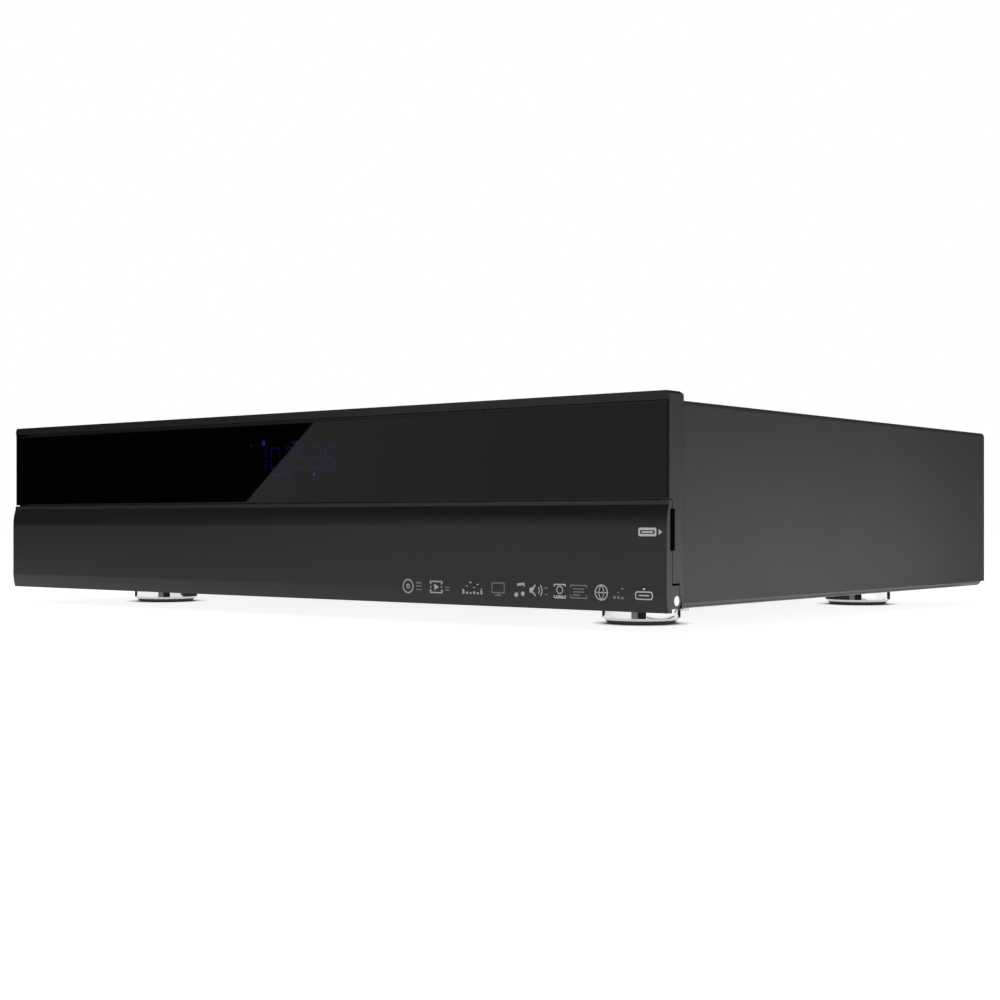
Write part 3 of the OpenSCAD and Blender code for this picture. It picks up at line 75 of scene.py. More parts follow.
def seen_rays(tree):
    """1 for camera, glossy and transmission rays, 0 for the diffuse light."""
    path = tree.nodes.new("ShaderNodeLightPath")
    first = tree.nodes.new("ShaderNodeMath")
    first.operation = "MAXIMUM"
    second = tree.nodes.new("ShaderNodeMath")
    second.operation = "MAXIMUM"
    link(path.outputs["Is Camera Ray"], first.inputs[0])
    link(path.outputs["Is Glossy Ray"], first.inputs[1])
    link(first.outputs[0], second.inputs[0])
    link(path.outputs["Is Transmission Ray"], second.inputs[1])
    return second.outputs[0]


def make_world(level):
    world = bpy.data.worlds.new("studio")
    scene.world = world
    world.use_nodes = True
    tree = world.node_tree
    tree.nodes.clear()
    light = tree.nodes.new("ShaderNodeBackground")
    light.inputs["Color"].default_value = (1, 1, 1, 1)
    light.inputs["Strength"].default_value = level
    seen = tree.nodes.new("ShaderNodeBackground")
    seen.inputs["Color"].default_value = (1, 1, 1, 1)
    seen.inputs["Strength"].default_value = 1.0
    mix = tree.nodes.new("ShaderNodeMixShader")
    out = tree.nodes.new("ShaderNodeOutputWorld")
    link(seen_rays(tree), mix.inputs[0])
    link(light.outputs[0], mix.inputs[1])
    link(seen.outputs[0], mix.inputs[2])
    link(mix.outputs[0], out.inputs["Surface"])


# painted contact shadow: ambient occlusion darkens the floor's own white glow beside what stands on
# it; how far it darkens, and the shading that counts as full contact
CONTACT_REACH = 0.007
CONTACT_DARKEST = 0.3
CONTACT_SAMPLES = 16
FLOOR_BOUNCE = 0.8


def floor_material(glow, shade):
    """White floor: the seen part is mostly its own white, so that only a soft shadow stays; near
    what stands on it, ambient occlusion darkens that white, a painted contact shadow.
    """
    material = bpy.data.materials.new("floor_white")
    material.use_nodes = True
    tree = material.node_tree
    tree.nodes.clear()
    plain = tree.nodes.new("ShaderNodeBsdfDiffuse")
    plain.inputs["Color"].default_value = (FLOOR_BOUNCE, FLOOR_BOUNCE, FLOOR_BOUNCE, 1)
    dim = tree.nodes.new("ShaderNodeBsdfDiffuse")
    dim.inputs["Color"].default_value = (shade, shade, shade, 1)
    white = tree.nodes.new("ShaderNodeEmission")
    # painted contact shadow: the floor's glow fades with ambient occlusion close to the feet
    painted_contact_shadow = tree.nodes.new("ShaderNodeAmbientOcclusion")
    painted_contact_shadow.samples = CONTACT_SAMPLES
    painted_contact_shadow.inputs["Distance"].default_value = CONTACT_REACH
    level = tree.nodes.new("ShaderNodeMapRange")
    level.inputs["From Min"].default_value = CONTACT_DARKEST
    level.inputs["From Max"].default_value = 1.0
    level.inputs["To Min"].default_value = 0.0
    level.inputs["To Max"].default_value = glow
    link(painted_contact_shadow.outputs["AO"], level.inputs["Value"])
    link(level.outputs["Result"], white.inputs["Strength"])
    both = tree.nodes.new("ShaderNodeAddShader")
    mix = tree.nodes.new("ShaderNodeMixShader")
    out = tree.nodes.new("ShaderNodeOutputMaterial")
    link(dim.outputs[0], both.inputs[0])
    link(white.outputs[0], both.inputs[1])
    link(seen_rays(tree), mix.inputs[0])
    link(plain.outputs[0], mix.inputs[1])
    link(both.outputs[0], mix.inputs[2])
    link(mix.outputs[0], out.inputs["Surface"])
    return material


def glow_material(name, level):
    material = bpy.data.materials.new(name)
    material.use_nodes = True
    tree = material.node_tree
    tree.nodes.clear()
    glow = tree.nodes.new("ShaderNodeEmission")
    glow.inputs["Color"].default_value = (level, level, level, 1)
    out = tree.nodes.new("ShaderNodeOutputMaterial")
    link(glow.outputs[0], out.inputs["Surface"])
    return material


def sheet_mesh(name, corners, material):
    """A flat stage sheet through the given corners, in metres."""
    mesh = bpy.data.meshes.new(name)
    mesh.from_pydata(corners, [], [list(range(len(corners)))])
    mesh.materials.append(material)
    sheet = bpy.data.objects.new(name, mesh)
    scene.collection.objects.link(sheet)
    return sheet


def card(name, corners, level):
    """A studio card that only gloss sees."""
    sheet = sheet_mesh(name, corners, glow_material(name + "_tone", level))
    sheet.visible_camera = False
    sheet.visible_diffuse = False
    sheet.visible_transmission = False
    sheet.visible_volume_scatter = False
    sheet.visible_shadow = False


def upright(ends, z0, z1):
    """Corners of an upright sheet between two points of the plan."""
    return [(*ends[0], z0), (*ends[1], z0), (*ends[1], z1), (*ends[0], z1)]


def upright_card(name, heading, distance, half_width, z0, z1, level):
    """A card round the object: heading 0 is straight ahead of the front, 90 to its right."""
    a = math.radians(heading)
    ahead = (math.sin(a), -math.cos(a))
    side = (math.cos(a), math.sin(a))
    ends = [tuple(distance * ahead[k] + s * half_width * side[k] for k in (0, 1)) for s in (-1, 1)]
    card(name, upright(ends, z0, z1), level)


def area_light(name, at, aim, size, power):
    light = bpy.data.lights.new(name, "AREA")
    light.shape = "RECTANGLE"
    light.size, light.size_y = size
    light.energy = power
    lamp = bpy.data.objects.new(name, light)
    lamp.location = at
    direction = [aim[k] - at[k] for k in range(3)]
    lamp.rotation_euler = Vector(direction).to_track_quat("-Z", "Y").to_euler()
    lamp.visible_glossy = False
    lamp.visible_camera = False
    scene.collection.objects.link(lamp)


def level_square(half, z):
    return [(-half, -half, z), (half, -half, z), (half, half, z), (-half, half, z)]


WORLD_LIGHT = 0.29
FLOOR_HALF = 8.0
FLOOR_GLOW = 0.9
FLOOR_SHADE = 0.4
make_world(WORLD_LIGHT)
sheet_mesh("floor", level_square(FLOOR_HALF, 0), floor_material(FLOOR_GLOW, FLOOR_SHADE))

# the dark card that the left half of the glass mirrors, its slanted edge on the right
DARK_CARD_Y = -1.6627
DARK_CARD_OUTLINE = (
    (-2.9, 0.0), (-1.757, 0.0), (-1.661, 0.082), (-1.486, 0.2215), (-1.27, 0.39), (-2.9, 0.39)
)
card("dark_card", [(x, DARK_CARD_Y, z) for x, z in DARK_CARD_OUTLINE], 0.0)
# dark cards that draw the chrome feet: behind the camera and far behind the object
upright_card("camera_card", 38.5, 1.9, 0.26, 0.0, 0.6, 0.01)
upright_card("rear_card", 218.5, 2.6, 1.2, 0.0, 0.6, 0.02)
# dark end of the room that the right side mirrors
upright_card("side_card", 158, 2.2, 0.9, 0.0, 1.8, 0.1)
# dim wall high ahead of the front, for the door's sweep, and a dim one at its left
upright_card("high_card", -45, 2.5, 3.0, 0.45, 3.2, 0.14)
upright_card("left_card", -77.5, 3.0, 1.56, 0.0, 3.2, 0.05)
# dim ceiling that darkens the folds and the door's sweep
CEILING_HALF = 5
CEILING_Z = 1.8
card("ceiling_card", level_square(CEILING_HALF, CEILING_Z), 0.08)

# on the floor: the darker part of the room that the left half of the door mirrors
SHADE_Z = 0.0004
card("floor_card", [
    (-5.0, -1.0, SHADE_Z), (-3.0, -4.0, SHADE_Z), (-0.5, -0.7, SHADE_Z), (-1.0, -0.1, SHADE_Z)
], 0.4)
# the shade below the cabinet and along its right edge, for the chrome
SHADE_REAR_Y = 0.15
for name, x0, x1, y0 in (("under_card", -0.185, 0.185, -0.08), ("edge_card", 0.2105, 0.218, -0.15)):
    corners = ((x0, y0), (x1, y0), (x1, SHADE_REAR_Y), (x0, SHADE_REAR_Y))
    card(name, [(x, y, SHADE_Z) for x, y in corners], 0.03)

FOOT_SIDE_X = 0.161
FOOT_FRONT_Y = -0.1011
FOOT_REAR_Y = 0.1125
FOOT_CARD_H = 0.0088
DISC_STEPS = 32
# discs below a foot: name, radius, height over the floor cards, level
FOOT_DISCS = (("open", 0.026, 0.0001, 0.7), ("shade", 0.0162, 0.0002, 0.04))
# uprights round a foot: name, two turns in degrees from the camera's side, distance, level
FOOT_UPRIGHTS = (
    ("dark", -9, 12, 0.06, 0.015), ("grey", -25, -9, 0.06, 0.17), ("rear", 123, 237, 0.08, 0.02)
)


def foot_cards(name, x, y):
    """A dark disc on a bright one below a foot, two uprights ahead of it and one behind."""
    for part, radius, lift, level in FOOT_DISCS:
        turns = [k * math.pi / (DISC_STEPS / 2) for k in range(DISC_STEPS)]
        card(name + "_" + part, [
            (x + radius * math.cos(a), y + radius * math.sin(a), SHADE_Z + lift) for a in turns
        ], level)
    ahead = math.degrees(math.atan2(CAMERA_AT[0] - x, y - CAMERA_AT[1]))
    for part, turn0, turn1, reach, level in FOOT_UPRIGHTS:
        ends = [math.radians(ahead + turn) for turn in (turn0, turn1)]
        ends = [(x + reach * math.sin(a), y - reach * math.cos(a)) for a in ends]
        card(name + "_" + part, upright(ends, 0.0, FOOT_CARD_H), level)


for row, y in (("front", FOOT_FRONT_Y), ("rear", FOOT_REAR_Y)):
    for side, x in (("right", FOOT_SIDE_X), ("left", -FOOT_SIDE_X)):
        foot_cards("foot_%s_%s" % (side, row), x, y)

area_light("key", (0.3, -1.6, 0.9), (0, 0, 0.05), (1.2, 0.8), 7)
area_light("side_low", (0.305, -0.07, 0.014), (0.2, -0.07, 0.014), (0.34, 0.02), 0.19)
area_light("top", (0.0, 0.1, 1.6), (0, 0, 0), (1.6, 1.6), 6)


# ---------- Materials ----------

# sockets of the colour mix
MIX_A, MIX_B, MIX_OUT = 6, 7, 2
# shares of the noise between which a colour or roughness runs over its whole range
NOISE_LOW, NOISE_HIGH = 0.3, 0.7


def surface(name, color, rough=0.5, metal=0.0, ior=1.5, tint=None, rough_var=None, bump=None,
            stretch=(1, 1, 1), sides=None):
    """A Principled surface, its noise in the object's own space. tint = (scale, share) of colour
    variation, rough_var = (scale, low, high), bump = (scale, strength, depth in mm) and
    sides = (limit, colour): the base colour where |X| is beyond the limit, which needs a tint."""
    material = bpy.data.materials.new(name)
    material.use_nodes = True
    tree = material.node_tree
    shader = tree.nodes["Principled BSDF"]
    shader.inputs["Base Color"].default_value = (*color, 1)
    shader.inputs["Roughness"].default_value = rough
    shader.inputs["Metallic"].default_value = metal
    shader.inputs["IOR"].default_value = ior
    coords = tree.nodes.new("ShaderNodeTexCoord")
    mapping = tree.nodes.new("ShaderNodeMapping")
    mapping.inputs["Scale"].default_value = stretch
    link(coords.outputs["Object"], mapping.inputs["Vector"])

    def noise(scale, detail=3.0):
        node = tree.nodes.new("ShaderNodeTexNoise")
        node.inputs["Scale"].default_value = scale
        node.inputs["Detail"].default_value = detail
        link(mapping.outputs[0], node.inputs["Vector"])
        return node.outputs["Fac"]

    if tint:
        ramp = tree.nodes.new("ShaderNodeValToRGB")
        share = tint[1]
        ramp.color_ramp.elements[0].position = NOISE_LOW
        ramp.color_ramp.elements[0].color = (*[c * (1 - share) for c in color], 1)
        ramp.color_ramp.elements[1].position = NOISE_HIGH
        ramp.color_ramp.elements[1].color = (*[min(1, c * (1 + share)) for c in color], 1)
        link(noise(tint[0]), ramp.inputs["Fac"])
        link(ramp.outputs["Color"], shader.inputs["Base Color"])
    # a lighter base colour where |X| is beyond the limit: painted light, for the stronger light
    # that falls on the sides
    if sides:
        split = tree.nodes.new("ShaderNodeSeparateXYZ")
        link(coords.outputs["Object"], split.inputs[0])
        size = tree.nodes.new("ShaderNodeMath")
        size.operation = "ABSOLUTE"
        link(split.outputs["X"], size.inputs[0])
        outer = tree.nodes.new("ShaderNodeMath")
        outer.operation = "GREATER_THAN"
        outer.inputs[1].default_value = sides[0]
        link(size.outputs[0], outer.inputs[0])
        both = tree.nodes.new("ShaderNodeMix")
        both.data_type = "RGBA"
        both.inputs[MIX_B].default_value = (*sides[1], 1)
        link(outer.outputs[0], both.inputs[0])
        link(ramp.outputs["Color"], both.inputs[MIX_A])
        link(both.outputs[MIX_OUT], shader.inputs["Base Color"])
    if rough_var:
        spread = tree.nodes.new("ShaderNodeMapRange")
        spread.inputs["From Min"].default_value = NOISE_LOW
        spread.inputs["From Max"].default_value = NOISE_HIGH
        spread.inputs["To Min"].default_value = rough_var[1]
        spread.inputs["To Max"].default_value = rough_var[2]
        link(noise(rough_var[0]), spread.inputs["Value"])
        link(spread.outputs["Result"], shader.inputs["Roughness"])
    if bump:
        relief = tree.nodes.new("ShaderNodeBump")
        relief.inputs["Strength"].default_value = bump[1]
        relief.inputs["Distance"].default_value = bump[2] * MM
        link(noise(bump[0], 2.0), relief.inputs["Height"])
        link(relief.outputs["Normal"], shader.inputs["Normal"])
    return material


def dress(material, *names):
    for name in names:
        mesh = nodes[name].data
        mesh.materials.clear()
        mesh.materials.append(material)


cover_paint = surface("cover_paint", (0.04, 0.04, 0.0405), 0.5, ior=1.25,
                      tint=(30, 0.04), rough_var=(1800, 0.46, 0.54), bump=(2600, 0.08, 0.03))
rear_paint = surface("rear_paint", (0.03, 0.03, 0.031), 0.55, ior=1.35,
                     tint=(30, 0.05), rough_var=(1800, 0.5, 0.6), bump=(2200, 0.12, 0.03))
# the front metal's end faces beyond END_FACE_X get a lighter base colour, painted light for the
# stronger light on the sides
END_FACE_X = 0.2149
front_metal = surface("front_metal", (0.006, 0.006, 0.0061), 0.3, ior=1.41,
                      tint=(60, 0.03), rough_var=(2500, 0.28, 0.33), bump=(3500, 0.05, 0.02),
                      sides=(END_FACE_X, (0.028, 0.028, 0.0284)))
GLASS_TONE = (0.001, 0.001, 0.0012)
GLASS_IOR = 1.262
black_glass = surface("black_glass", GLASS_TONE, 0.015, ior=GLASS_IOR, rough_var=(12, 0.01, 0.02))
zinc = surface("zinc", (0.42, 0.42, 0.43), 0.4, metal=1.0,
               tint=(90, 0.12), rough_var=(260, 0.32, 0.5), bump=(900, 0.1, 0.02))
pan_paint = surface("pan_paint", (0.065, 0.065, 0.066), 0.36, metal=0.4, ior=1.45,
                    tint=(90, 0.06), rough_var=(900, 0.32, 0.42), bump=(1800, 0.08, 0.02))
moulding = surface("moulding", (0.022, 0.022, 0.0225), 0.55,
                   tint=(40, 0.06), rough_var=(1500, 0.5, 0.62), bump=(3000, 0.2, 0.03))
chrome = surface("chrome", (0.78, 0.78, 0.79), 0.05, metal=1.0, rough_var=(40, 0.03, 0.07))
rubber = surface("rubber", (0.02, 0.02, 0.02), 0.75, tint=(200, 0.1), bump=(1800, 0.3, 0.05))
nickel = surface("nickel", (0.6, 0.59, 0.57), 0.25, metal=1.0, rough_var=(300, 0.2, 0.32))
polished = surface("polished", (0.85, 0.85, 0.86), 0.08, metal=1.0, rough_var=(300, 0.05, 0.12))
alloy = surface("alloy", (0.6, 0.6, 0.61), 0.4, metal=1.0, tint=(60, 0.06),
                rough_var=(900, 0.35, 0.48), stretch=(1, 12, 1))
brass = surface("brass", (0.62, 0.44, 0.18), 0.32, metal=1.0, rough_var=(400, 0.25, 0.4))
tinned = surface("tinned", (0.55, 0.55, 0.56), 0.3, metal=1.0, tint=(160, 0.08),
                 rough_var=(500, 0.24, 0.4))
gold = surface("gold", (0.76, 0.55, 0.2), 0.22, metal=1.0, rough_var=(400, 0.16, 0.3))
smoked = surface("smoked", (0.01, 0.012, 0.02), 0.12, rough_var=(60, 0.08, 0.16))
tape = surface("tape", (0.6, 0.4, 0.06), 0.45, tint=(150, 0.12), rough_var=(300, 0.35, 0.5))
sleeve = surface("sleeve", (0.02, 0.02, 0.06), 0.3, tint=(120, 0.15), rough_var=(200, 0.25, 0.4))
film = surface("film", (0.5, 0.5, 0.44), 0.35, tint=(40, 0.06), rough_var=(60, 0.3, 0.45))
clear = surface("clear", (0.5, 0.6, 0.7), 0.1, rough_var=(200, 0.06, 0.16))
bail_metal = surface("bail_metal", (0.16, 0.16, 0.165), 0.38, metal=0.9,
                     tint=(80, 0.08), rough_var=(900, 0.32, 0.46), bump=(2200, 0.08, 0.02))
button_metal = surface("button_metal", (0.4, 0.4, 0.41), 0.3, metal=1.0,
                       tint=(80, 0.05), rough_var=(700, 0.25, 0.38))
board_green = surface("board_green", (0.012, 0.075, 0.03), 0.3,
                      tint=(260, 0.35), rough_var=(500, 0.25, 0.4), bump=(500, 0.1, 0.03))

dress(cover_paint, "top_cover")
dress(rear_paint, "rear_panel")
dress(front_metal, "front_bezel", "door_panel")
dress(black_glass, "front_glass")
dress(pan_paint, "base_pan")
dress(zinc, "drive_cage", "hinge_brackets", "tray_left", "tray_right")
dress(nickel, "case_screws", "foot_screws", "board_screws", "door_strikes", "door_magnets",
      "handle_pins_left", "handle_pins_right")
dress(polished, "hinge_pins")
dress(moulding, "bay_fascia", "tray_guides", "tray_front_left", "tray_front_right",
      "rocker_housing", "mains_inlet", "fan_frame", "fan_rotor", "rocker", "optical_port",
      "drive_sockets", "power_switch", "board_chips")
dress(chrome, "feet")
dress(rubber, "foot_pads")
dress(board_green, "backplane_board", "main_board", "front_board", "display_board", "supply_board")
dress(alloy, "heatsink", "supply_heatsinks")
dress(brass, "board_spacers", "inlet_pins")
dress(tinned, "hdmi_ports", "lan_port", "rear_usb_port", "front_usb_port")
dress(gold, "audio_jacks", "antenna_sockets")
dress(smoked, "display_module")
dress(tape, "transformer")
dress(sleeve, "supply_capacitors")
dress(film, "insulation_sheet")
dress(clear, "light_pipe_left", "light_pipe_right")
dress(bail_metal, "tray_handle_left", "tray_handle_right")
dress(button_metal, "power_button")


# ---------- Flat shapes, in millimetres ----------

def arc(cx, cy, r, a0, a1, steps):
    angles = [math.radians(a0 + (a1 - a0) * k / steps) for k in range(steps + 1)]
    return [(cx + r * math.cos(a), cy + r * math.sin(a)) for a in angles]


def strip(one, other):
    """Four-sided faces between two rows of points."""
    return [[one[k], one[k + 1], other[k + 1], other[k]] for k in range(len(one) - 1)]


def band(cx, cy, r, width, a0=0, a1=360, steps=32):
    inner = arc(cx, cy, r - width / 2, a0, a1, steps)
    outer = arc(cx, cy, r + width / 2, a0, a1, steps)
    return strip(inner, outer)


def disc(cx, cy, r, steps=24):
    return [arc(cx, cy, r, 0, 360, steps)[:-1]]


def box2(x0, y0, x1, y1):
    return [[(x0, y0), (x1, y0), (x1, y1), (x0, y1)]]


def stroke(x0, y0, x1, y1, width):
    """A straight line of some width."""
    length = math.hypot(x1 - x0, y1 - y0)
    nx = -(y1 - y0) / length * width / 2
    ny = (x1 - x0) / length * width / 2
    return [[(x0 + nx, y0 + ny), (x1 + nx, y1 + ny), (x1 - nx, y1 - ny), (x0 - nx, y0 - ny)]]


def soft_box(cx, cy, w, h, r, steps=6):
    """Outline of a rectangle with round corners."""
    points = []
    for sx, sy, a0 in ((1, 1, 0), (-1, 1, 90), (-1, -1, 180), (1, -1, 270)):
        points += arc(cx + sx * (w / 2 - r), cy + sy * (h / 2 - r), r, a0, a0 + 90, steps)
    return points


def outline(cx, cy, w, h, r, width):
    """A rectangle's rim with round corners."""
    outer = soft_box(cx, cy, w, h, r)
    inner = soft_box(cx, cy, w - 2 * width, h - 2 * width, max(r - width, 0.05))
    return strip(outer + outer[:1], inner + inner[:1])


def moved(faces, dx, dy):
    return [[(x + dx, y + dy) for x, y in face] for face in faces]


KEY_DIGITS = 3  # corners closer than a micrometre are one
SINK = 0.01  # how deep a layer's back lies in what carries it


def printed(name, faces, to_frame, body, material, depth):
    """A thin closed layer: flat faces placed on a surface by to_frame(x, y, lift)."""
    mesh = bpy.data.meshes.new(name)
    form = bmesh.new()
    known = {}

    def corner(point, lift):
        key = (round(point[0], KEY_DIGITS), round(point[1], KEY_DIGITS), lift)
        if key not in known:
            known[key] = form.verts.new(to_frame(point[0], point[1], lift))
        return known[key]

    edges = {}
    for face in faces:
        low = [corner(p, 0.0) for p in face]
        high = [corner(p, depth) for p in face]
        if len(set(low)) < 3:
            continue
        form.faces.new(high)
        form.faces.new(list(reversed(low)))
        for k in range(len(face)):
            a, b = low[k], low[(k + 1) % len(face)]
            pair = frozenset((a, b))
            edges.setdefault(pair, []).append((a, b, high[(k + 1) % len(face)], high[k]))
    for sides in edges.values():
        if len(sides) == 1 and len(set(sides[0])) == 4:
            form.faces.new(sides[0])
    bmesh.ops.recalc_face_normals(form, faces=form.faces)
    form.to_mesh(mesh)
    form.free()
    mesh.materials.append(material)
    piece = bpy.data.objects.new(name, mesh)
    scene.collection.objects.link(piece)
    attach(piece, body)


# ---------- Printed and lit details ----------

DOOR_FACE = -2.0
TOE_TOP = 15.9
TOE_R = 21.0


def on_door(x, z, lift):
    """A point on the door's face, which turns in below TOE_TOP."""
    drop = max(0.0, TOE_TOP - z)
    turn_in = TOE_R - math.sqrt(TOE_R * TOE_R - drop * drop)
    return place(x, DOOR_FACE + turn_in + SINK - lift, z)


def on_glass(x, z, lift):
    return place(x, SINK / 2 - lift, z)


# painted shade round the glass: dark lines on the bezel's rims beside it, for the shadow of the
# gaps between glass and bezel, and along its own top edge, for the shadow of the groove above it
GAP_SHADE_Z = (53.9, 93.0)
GAP_SHADE_DEPTH = 0.025
painted_gap_shade = surface("painted_gap_shade", (0.0015, 0.0015, 0.0016), 0.3, ior=1.3,
                    rough_var=(600, 0.26, 0.34))
for side, x0, x1 in (("left", -214.95, -214.0), ("right", 214.0, 214.95)):
    printed("glass_gap_shade_" + side, box2(x0, GAP_SHADE_Z[0], x1, GAP_SHADE_Z[1]), on_glass, "chassis", painted_gap_shade,
            GAP_SHADE_DEPTH)
printed("glass_groove_shade", box2(-213.6, 91.4, 213.6, 91.99), on_glass, "chassis", painted_gap_shade,
        GAP_SHADE_DEPTH)

ink = surface("ink", (0.55, 0.55, 0.55), 0.5, tint=(600, 0.06))
dim_ink = surface("dim_ink", (0.2, 0.2, 0.2), 0.5, tint=(600, 0.06))
INK_DEPTH = 0.02
SIGN_Z = 16.4

# one row of plain signs along the door's foot: disc, film, bars, screen, note, speaker, drive,
# list, globe, steps and plug
marks = moved(band(0, 0, 2.9, 0.55) + band(0, 0, 0.85, 0.5, steps=16), 79.6, SIGN_Z)
lines_sign = box2(0, 1.2, 3.4, 2.0) + box2(0, -0.1, 3.4, 0.5) + box2(0, -1.6, 3.4, -1.1)
fine = moved(lines_sign, 84.2, SIGN_Z)
film_sign = outline(0, 0, 7.4, 5.4, 0.5, 0.55) + [[(-1.2, -1.4), (-1.2, 1.4), (1.7, 0)]]
for side_x in (-3.1, 3.1):
    for hole_z in (-1.5, 0, 1.5):
        film_sign += box2(side_x - 0.35, hole_z - 0.35, side_x + 0.35, hole_z + 0.35)
marks += moved(film_sign, 96.0, SIGN_Z)
fine += moved(box2(0, -1.4, 2.6, -0.9) + box2(0, -0.2, 2.6, 0.3), 101.0, SIGN_Z)
bars_sign = []
for k, height in enumerate((2.0, 3.6, 5.2, 3.0, 4.4, 2.4)):
    bars_sign += box2(k * 2.0, -2.7, k * 2.0 + 1.1, -2.7 + height)
marks += moved(bars_sign, 110.9, SIGN_Z + 0.2)
screen_sign = outline(0, 0.5, 7.2, 4.6, 0.5, 0.5)
screen_sign += box2(-1.8, -2.9, 1.8, -2.4) + box2(-0.4, -2.5, 0.4, -1.7)
fine += moved(screen_sign, 130.6, SIGN_Z)
note_sign = disc(-1.5, -2.0, 0.95) + disc(2.0, -1.5, 0.95) + box2(-0.95, -2.0, -0.5, 2.6)
note_sign += box2(2.5, -1.5, 2.95, 3.0) + [[(-0.95, 1.7), (2.95, 2.2), (2.95, 3.2), (-0.95, 2.7)]]
marks += moved(note_sign, 141.8, SIGN_Z - 0.1)
speaker_sign = [[(-2.8, -1.0), (-1.5, -1.0), (0.4, -2.6), (0.4, 2.6), (-1.5, 1.0), (-2.8, 1.0)]]
speaker_sign += band(0.4, 0, 1.9, 0.5, -42, 42, 8) + band(0.4, 0, 3.3, 0.5, -42, 42, 8)
marks += moved(speaker_sign, 150.2, SIGN_Z)
fine += moved(box2(0, 0.9, 1.6, 1.4) + box2(0, -1.9, 1.6, -1.4), 155.2, SIGN_Z)
drive_sign = outline(0, 0, 6.2, 6.0, 0.5, 0.55) + band(0, 0.5, 1.5, 0.45, steps=20)
drive_sign += box2(-1.9, -2.3, 1.9, -1.8)
marks += moved(drive_sign, 163.0, SIGN_Z)
list_sign = outline(0, 0, 8.6, 5.6, 0.6, 0.45) + box2(-2.8, 0.9, 2.8, 1.35)
list_sign += box2(-2.8, -0.3, 2.8, 0.15) + box2(-2.8, -1.5, 0.8, -1.05)
fine += moved(list_sign, 172.5, SIGN_Z)
globe_sign = band(0, 0, 3.0, 0.5) + stroke(-2.8, 0, 2.8, 0, 0.4) + stroke(0, -2.8, 0, 2.8, 0.4)
globe_sign += band(-3.4, 0, 4.55, 0.35, -37, 37, 10) + band(3.4, 0, 4.55, 0.35, 143, 217, 10)
marks += moved(globe_sign, 183.8, SIGN_Z)
steps_sign = box2(0, -2.6, 1.2, -1.4) + box2(1.9, -2.6, 3.1, 0.2) + box2(3.8, -2.6, 5.0, 1.8)
fine += moved(steps_sign, 189.6, SIGN_Z + 0.2)
plug_sign = outline(0, -0.3, 8.4, 3.4, 1.2, 0.5)
plug_sign += box2(-2.4, -0.5, 2.4, 0.0) + box2(-0.6, 2.0, 0.6, 2.6)
marks += moved(plug_sign, 204.3, SIGN_Z - 0.4)
printed("door_signs", marks, on_door, "door", ink, INK_DEPTH)
printed("door_signs_fine", fine, on_door, "door", dim_ink, INK_DEPTH)

# pill with a bar in its window, and the arrow that points to the finger slot
PILL_X, PILL_Z = 205.9, 40.9
pill = soft_box(0, 0, 8.5, 3.4, 0.8)
hole = soft_box(0, 0, 6.9, 1.5, 0.5)
pill_faces = strip(pill + pill[:1], hole + hole[:1]) + box2(-2.6, -0.35, 2.6, 0.35)
pull_arrow = [[(211.2, PILL_Z - 1.1), (212.9, PILL_Z), (211.2, PILL_Z + 1.1)]]
printed("pull_sign", moved(pill_faces, PILL_X, PILL_Z) + pull_arrow, on_door, "door", ink,
        INK_DEPTH)

# segment clock behind the glass
SEGMENTS = {
    "0": "abcdef", "1": "bc", "2": "abged", "3": "abgcd", "5": "afgcd", "6": "afgedc"
}


def digit(sign, x, z, w, h, t):
    """One seven-segment digit with its lower left corner at x, z."""
    middle = z + h / 2
    bars = {
        "a": box2(x + t, z + h - t, x + w - t, z + h), "d": box2(x + t, z, x + w - t, z + t),
        "g": box2(x + t, middle - t / 2, x + w - t, middle + t / 2),
        "f": box2(x, middle + t / 2, x + t, z + h - t / 2),
        "b": box2(x + w - t, middle + t / 2, x + w, z + h - t / 2),
        "e": box2(x, z + t / 2, x + t, middle - t / 2),
        "c": box2(x + w - t, z + t / 2, x + w, middle - t / 2)
    }
    return [face for bar in SEGMENTS[sign] for face in bars[bar]]


def lit(name, color):
    """Glass-like layer that glows a little, so the mirror image on the glass runs over it."""
    material = surface(name, GLASS_TONE, 0.02, ior=GLASS_IOR, rough_var=(12, 0.015, 0.025))
    shader = material.node_tree.nodes["Principled BSDF"]
    shader.inputs["Emission Color"].default_value = (*color, 1)
    shader.inputs["Emission Strength"].default_value = 1.0
    return material


DIGIT_Z = 69.4
DIGIT_SIZE = (6.9, 11.2, 1.15)  # width, height and width of a bar
clock = []
for sign, x in zip("102536", (-20.1, -10.5, -1.6, 7.2, 16.8, 25.9)):
    clock += digit(sign, x, DIGIT_Z, *DIGIT_SIZE)
clock_glow = lit("clock_glow", (0.0022, 0.0008, 0.026))
dot_glow = lit("dot_glow", (0.01, 0.01, 0.2))
faint_glow = lit("faint_glow", (0.004, 0.002, 0.04))
LIT_DEPTH = 0.02
printed("clock_digits", clock, on_glass, "chassis", clock_glow, LIT_DEPTH)
lamps = disc(-15.2, 82.7, 1.2) + disc(18.8, 67.1, 0.95)
printed("clock_lamps", lamps, on_glass, "chassis", dot_glow, LIT_DEPTH)
faint_lamps = disc(-23.9, 81.8, 0.8) + box2(3.9, 81.6, 8.3, 83.1)
faint_lamps += box2(-9.6, 66.6, -3.9, 67.5) + box2(-1.5, 67.1, 3.8, 68.1)
printed("clock_faint_lamps", faint_lamps, on_glass, "chassis", faint_glow, LIT_DEPTH)


# ---------- Details at the back ----------

REAR_FACE = 317.4
COVER_REAR = 318.7
PAN_UNDERSIDE = 8.4
FASTENER_HEAD = 1.8


def on_rear(x, z, lift):
    return place(x, REAR_FACE - SINK + lift, z)


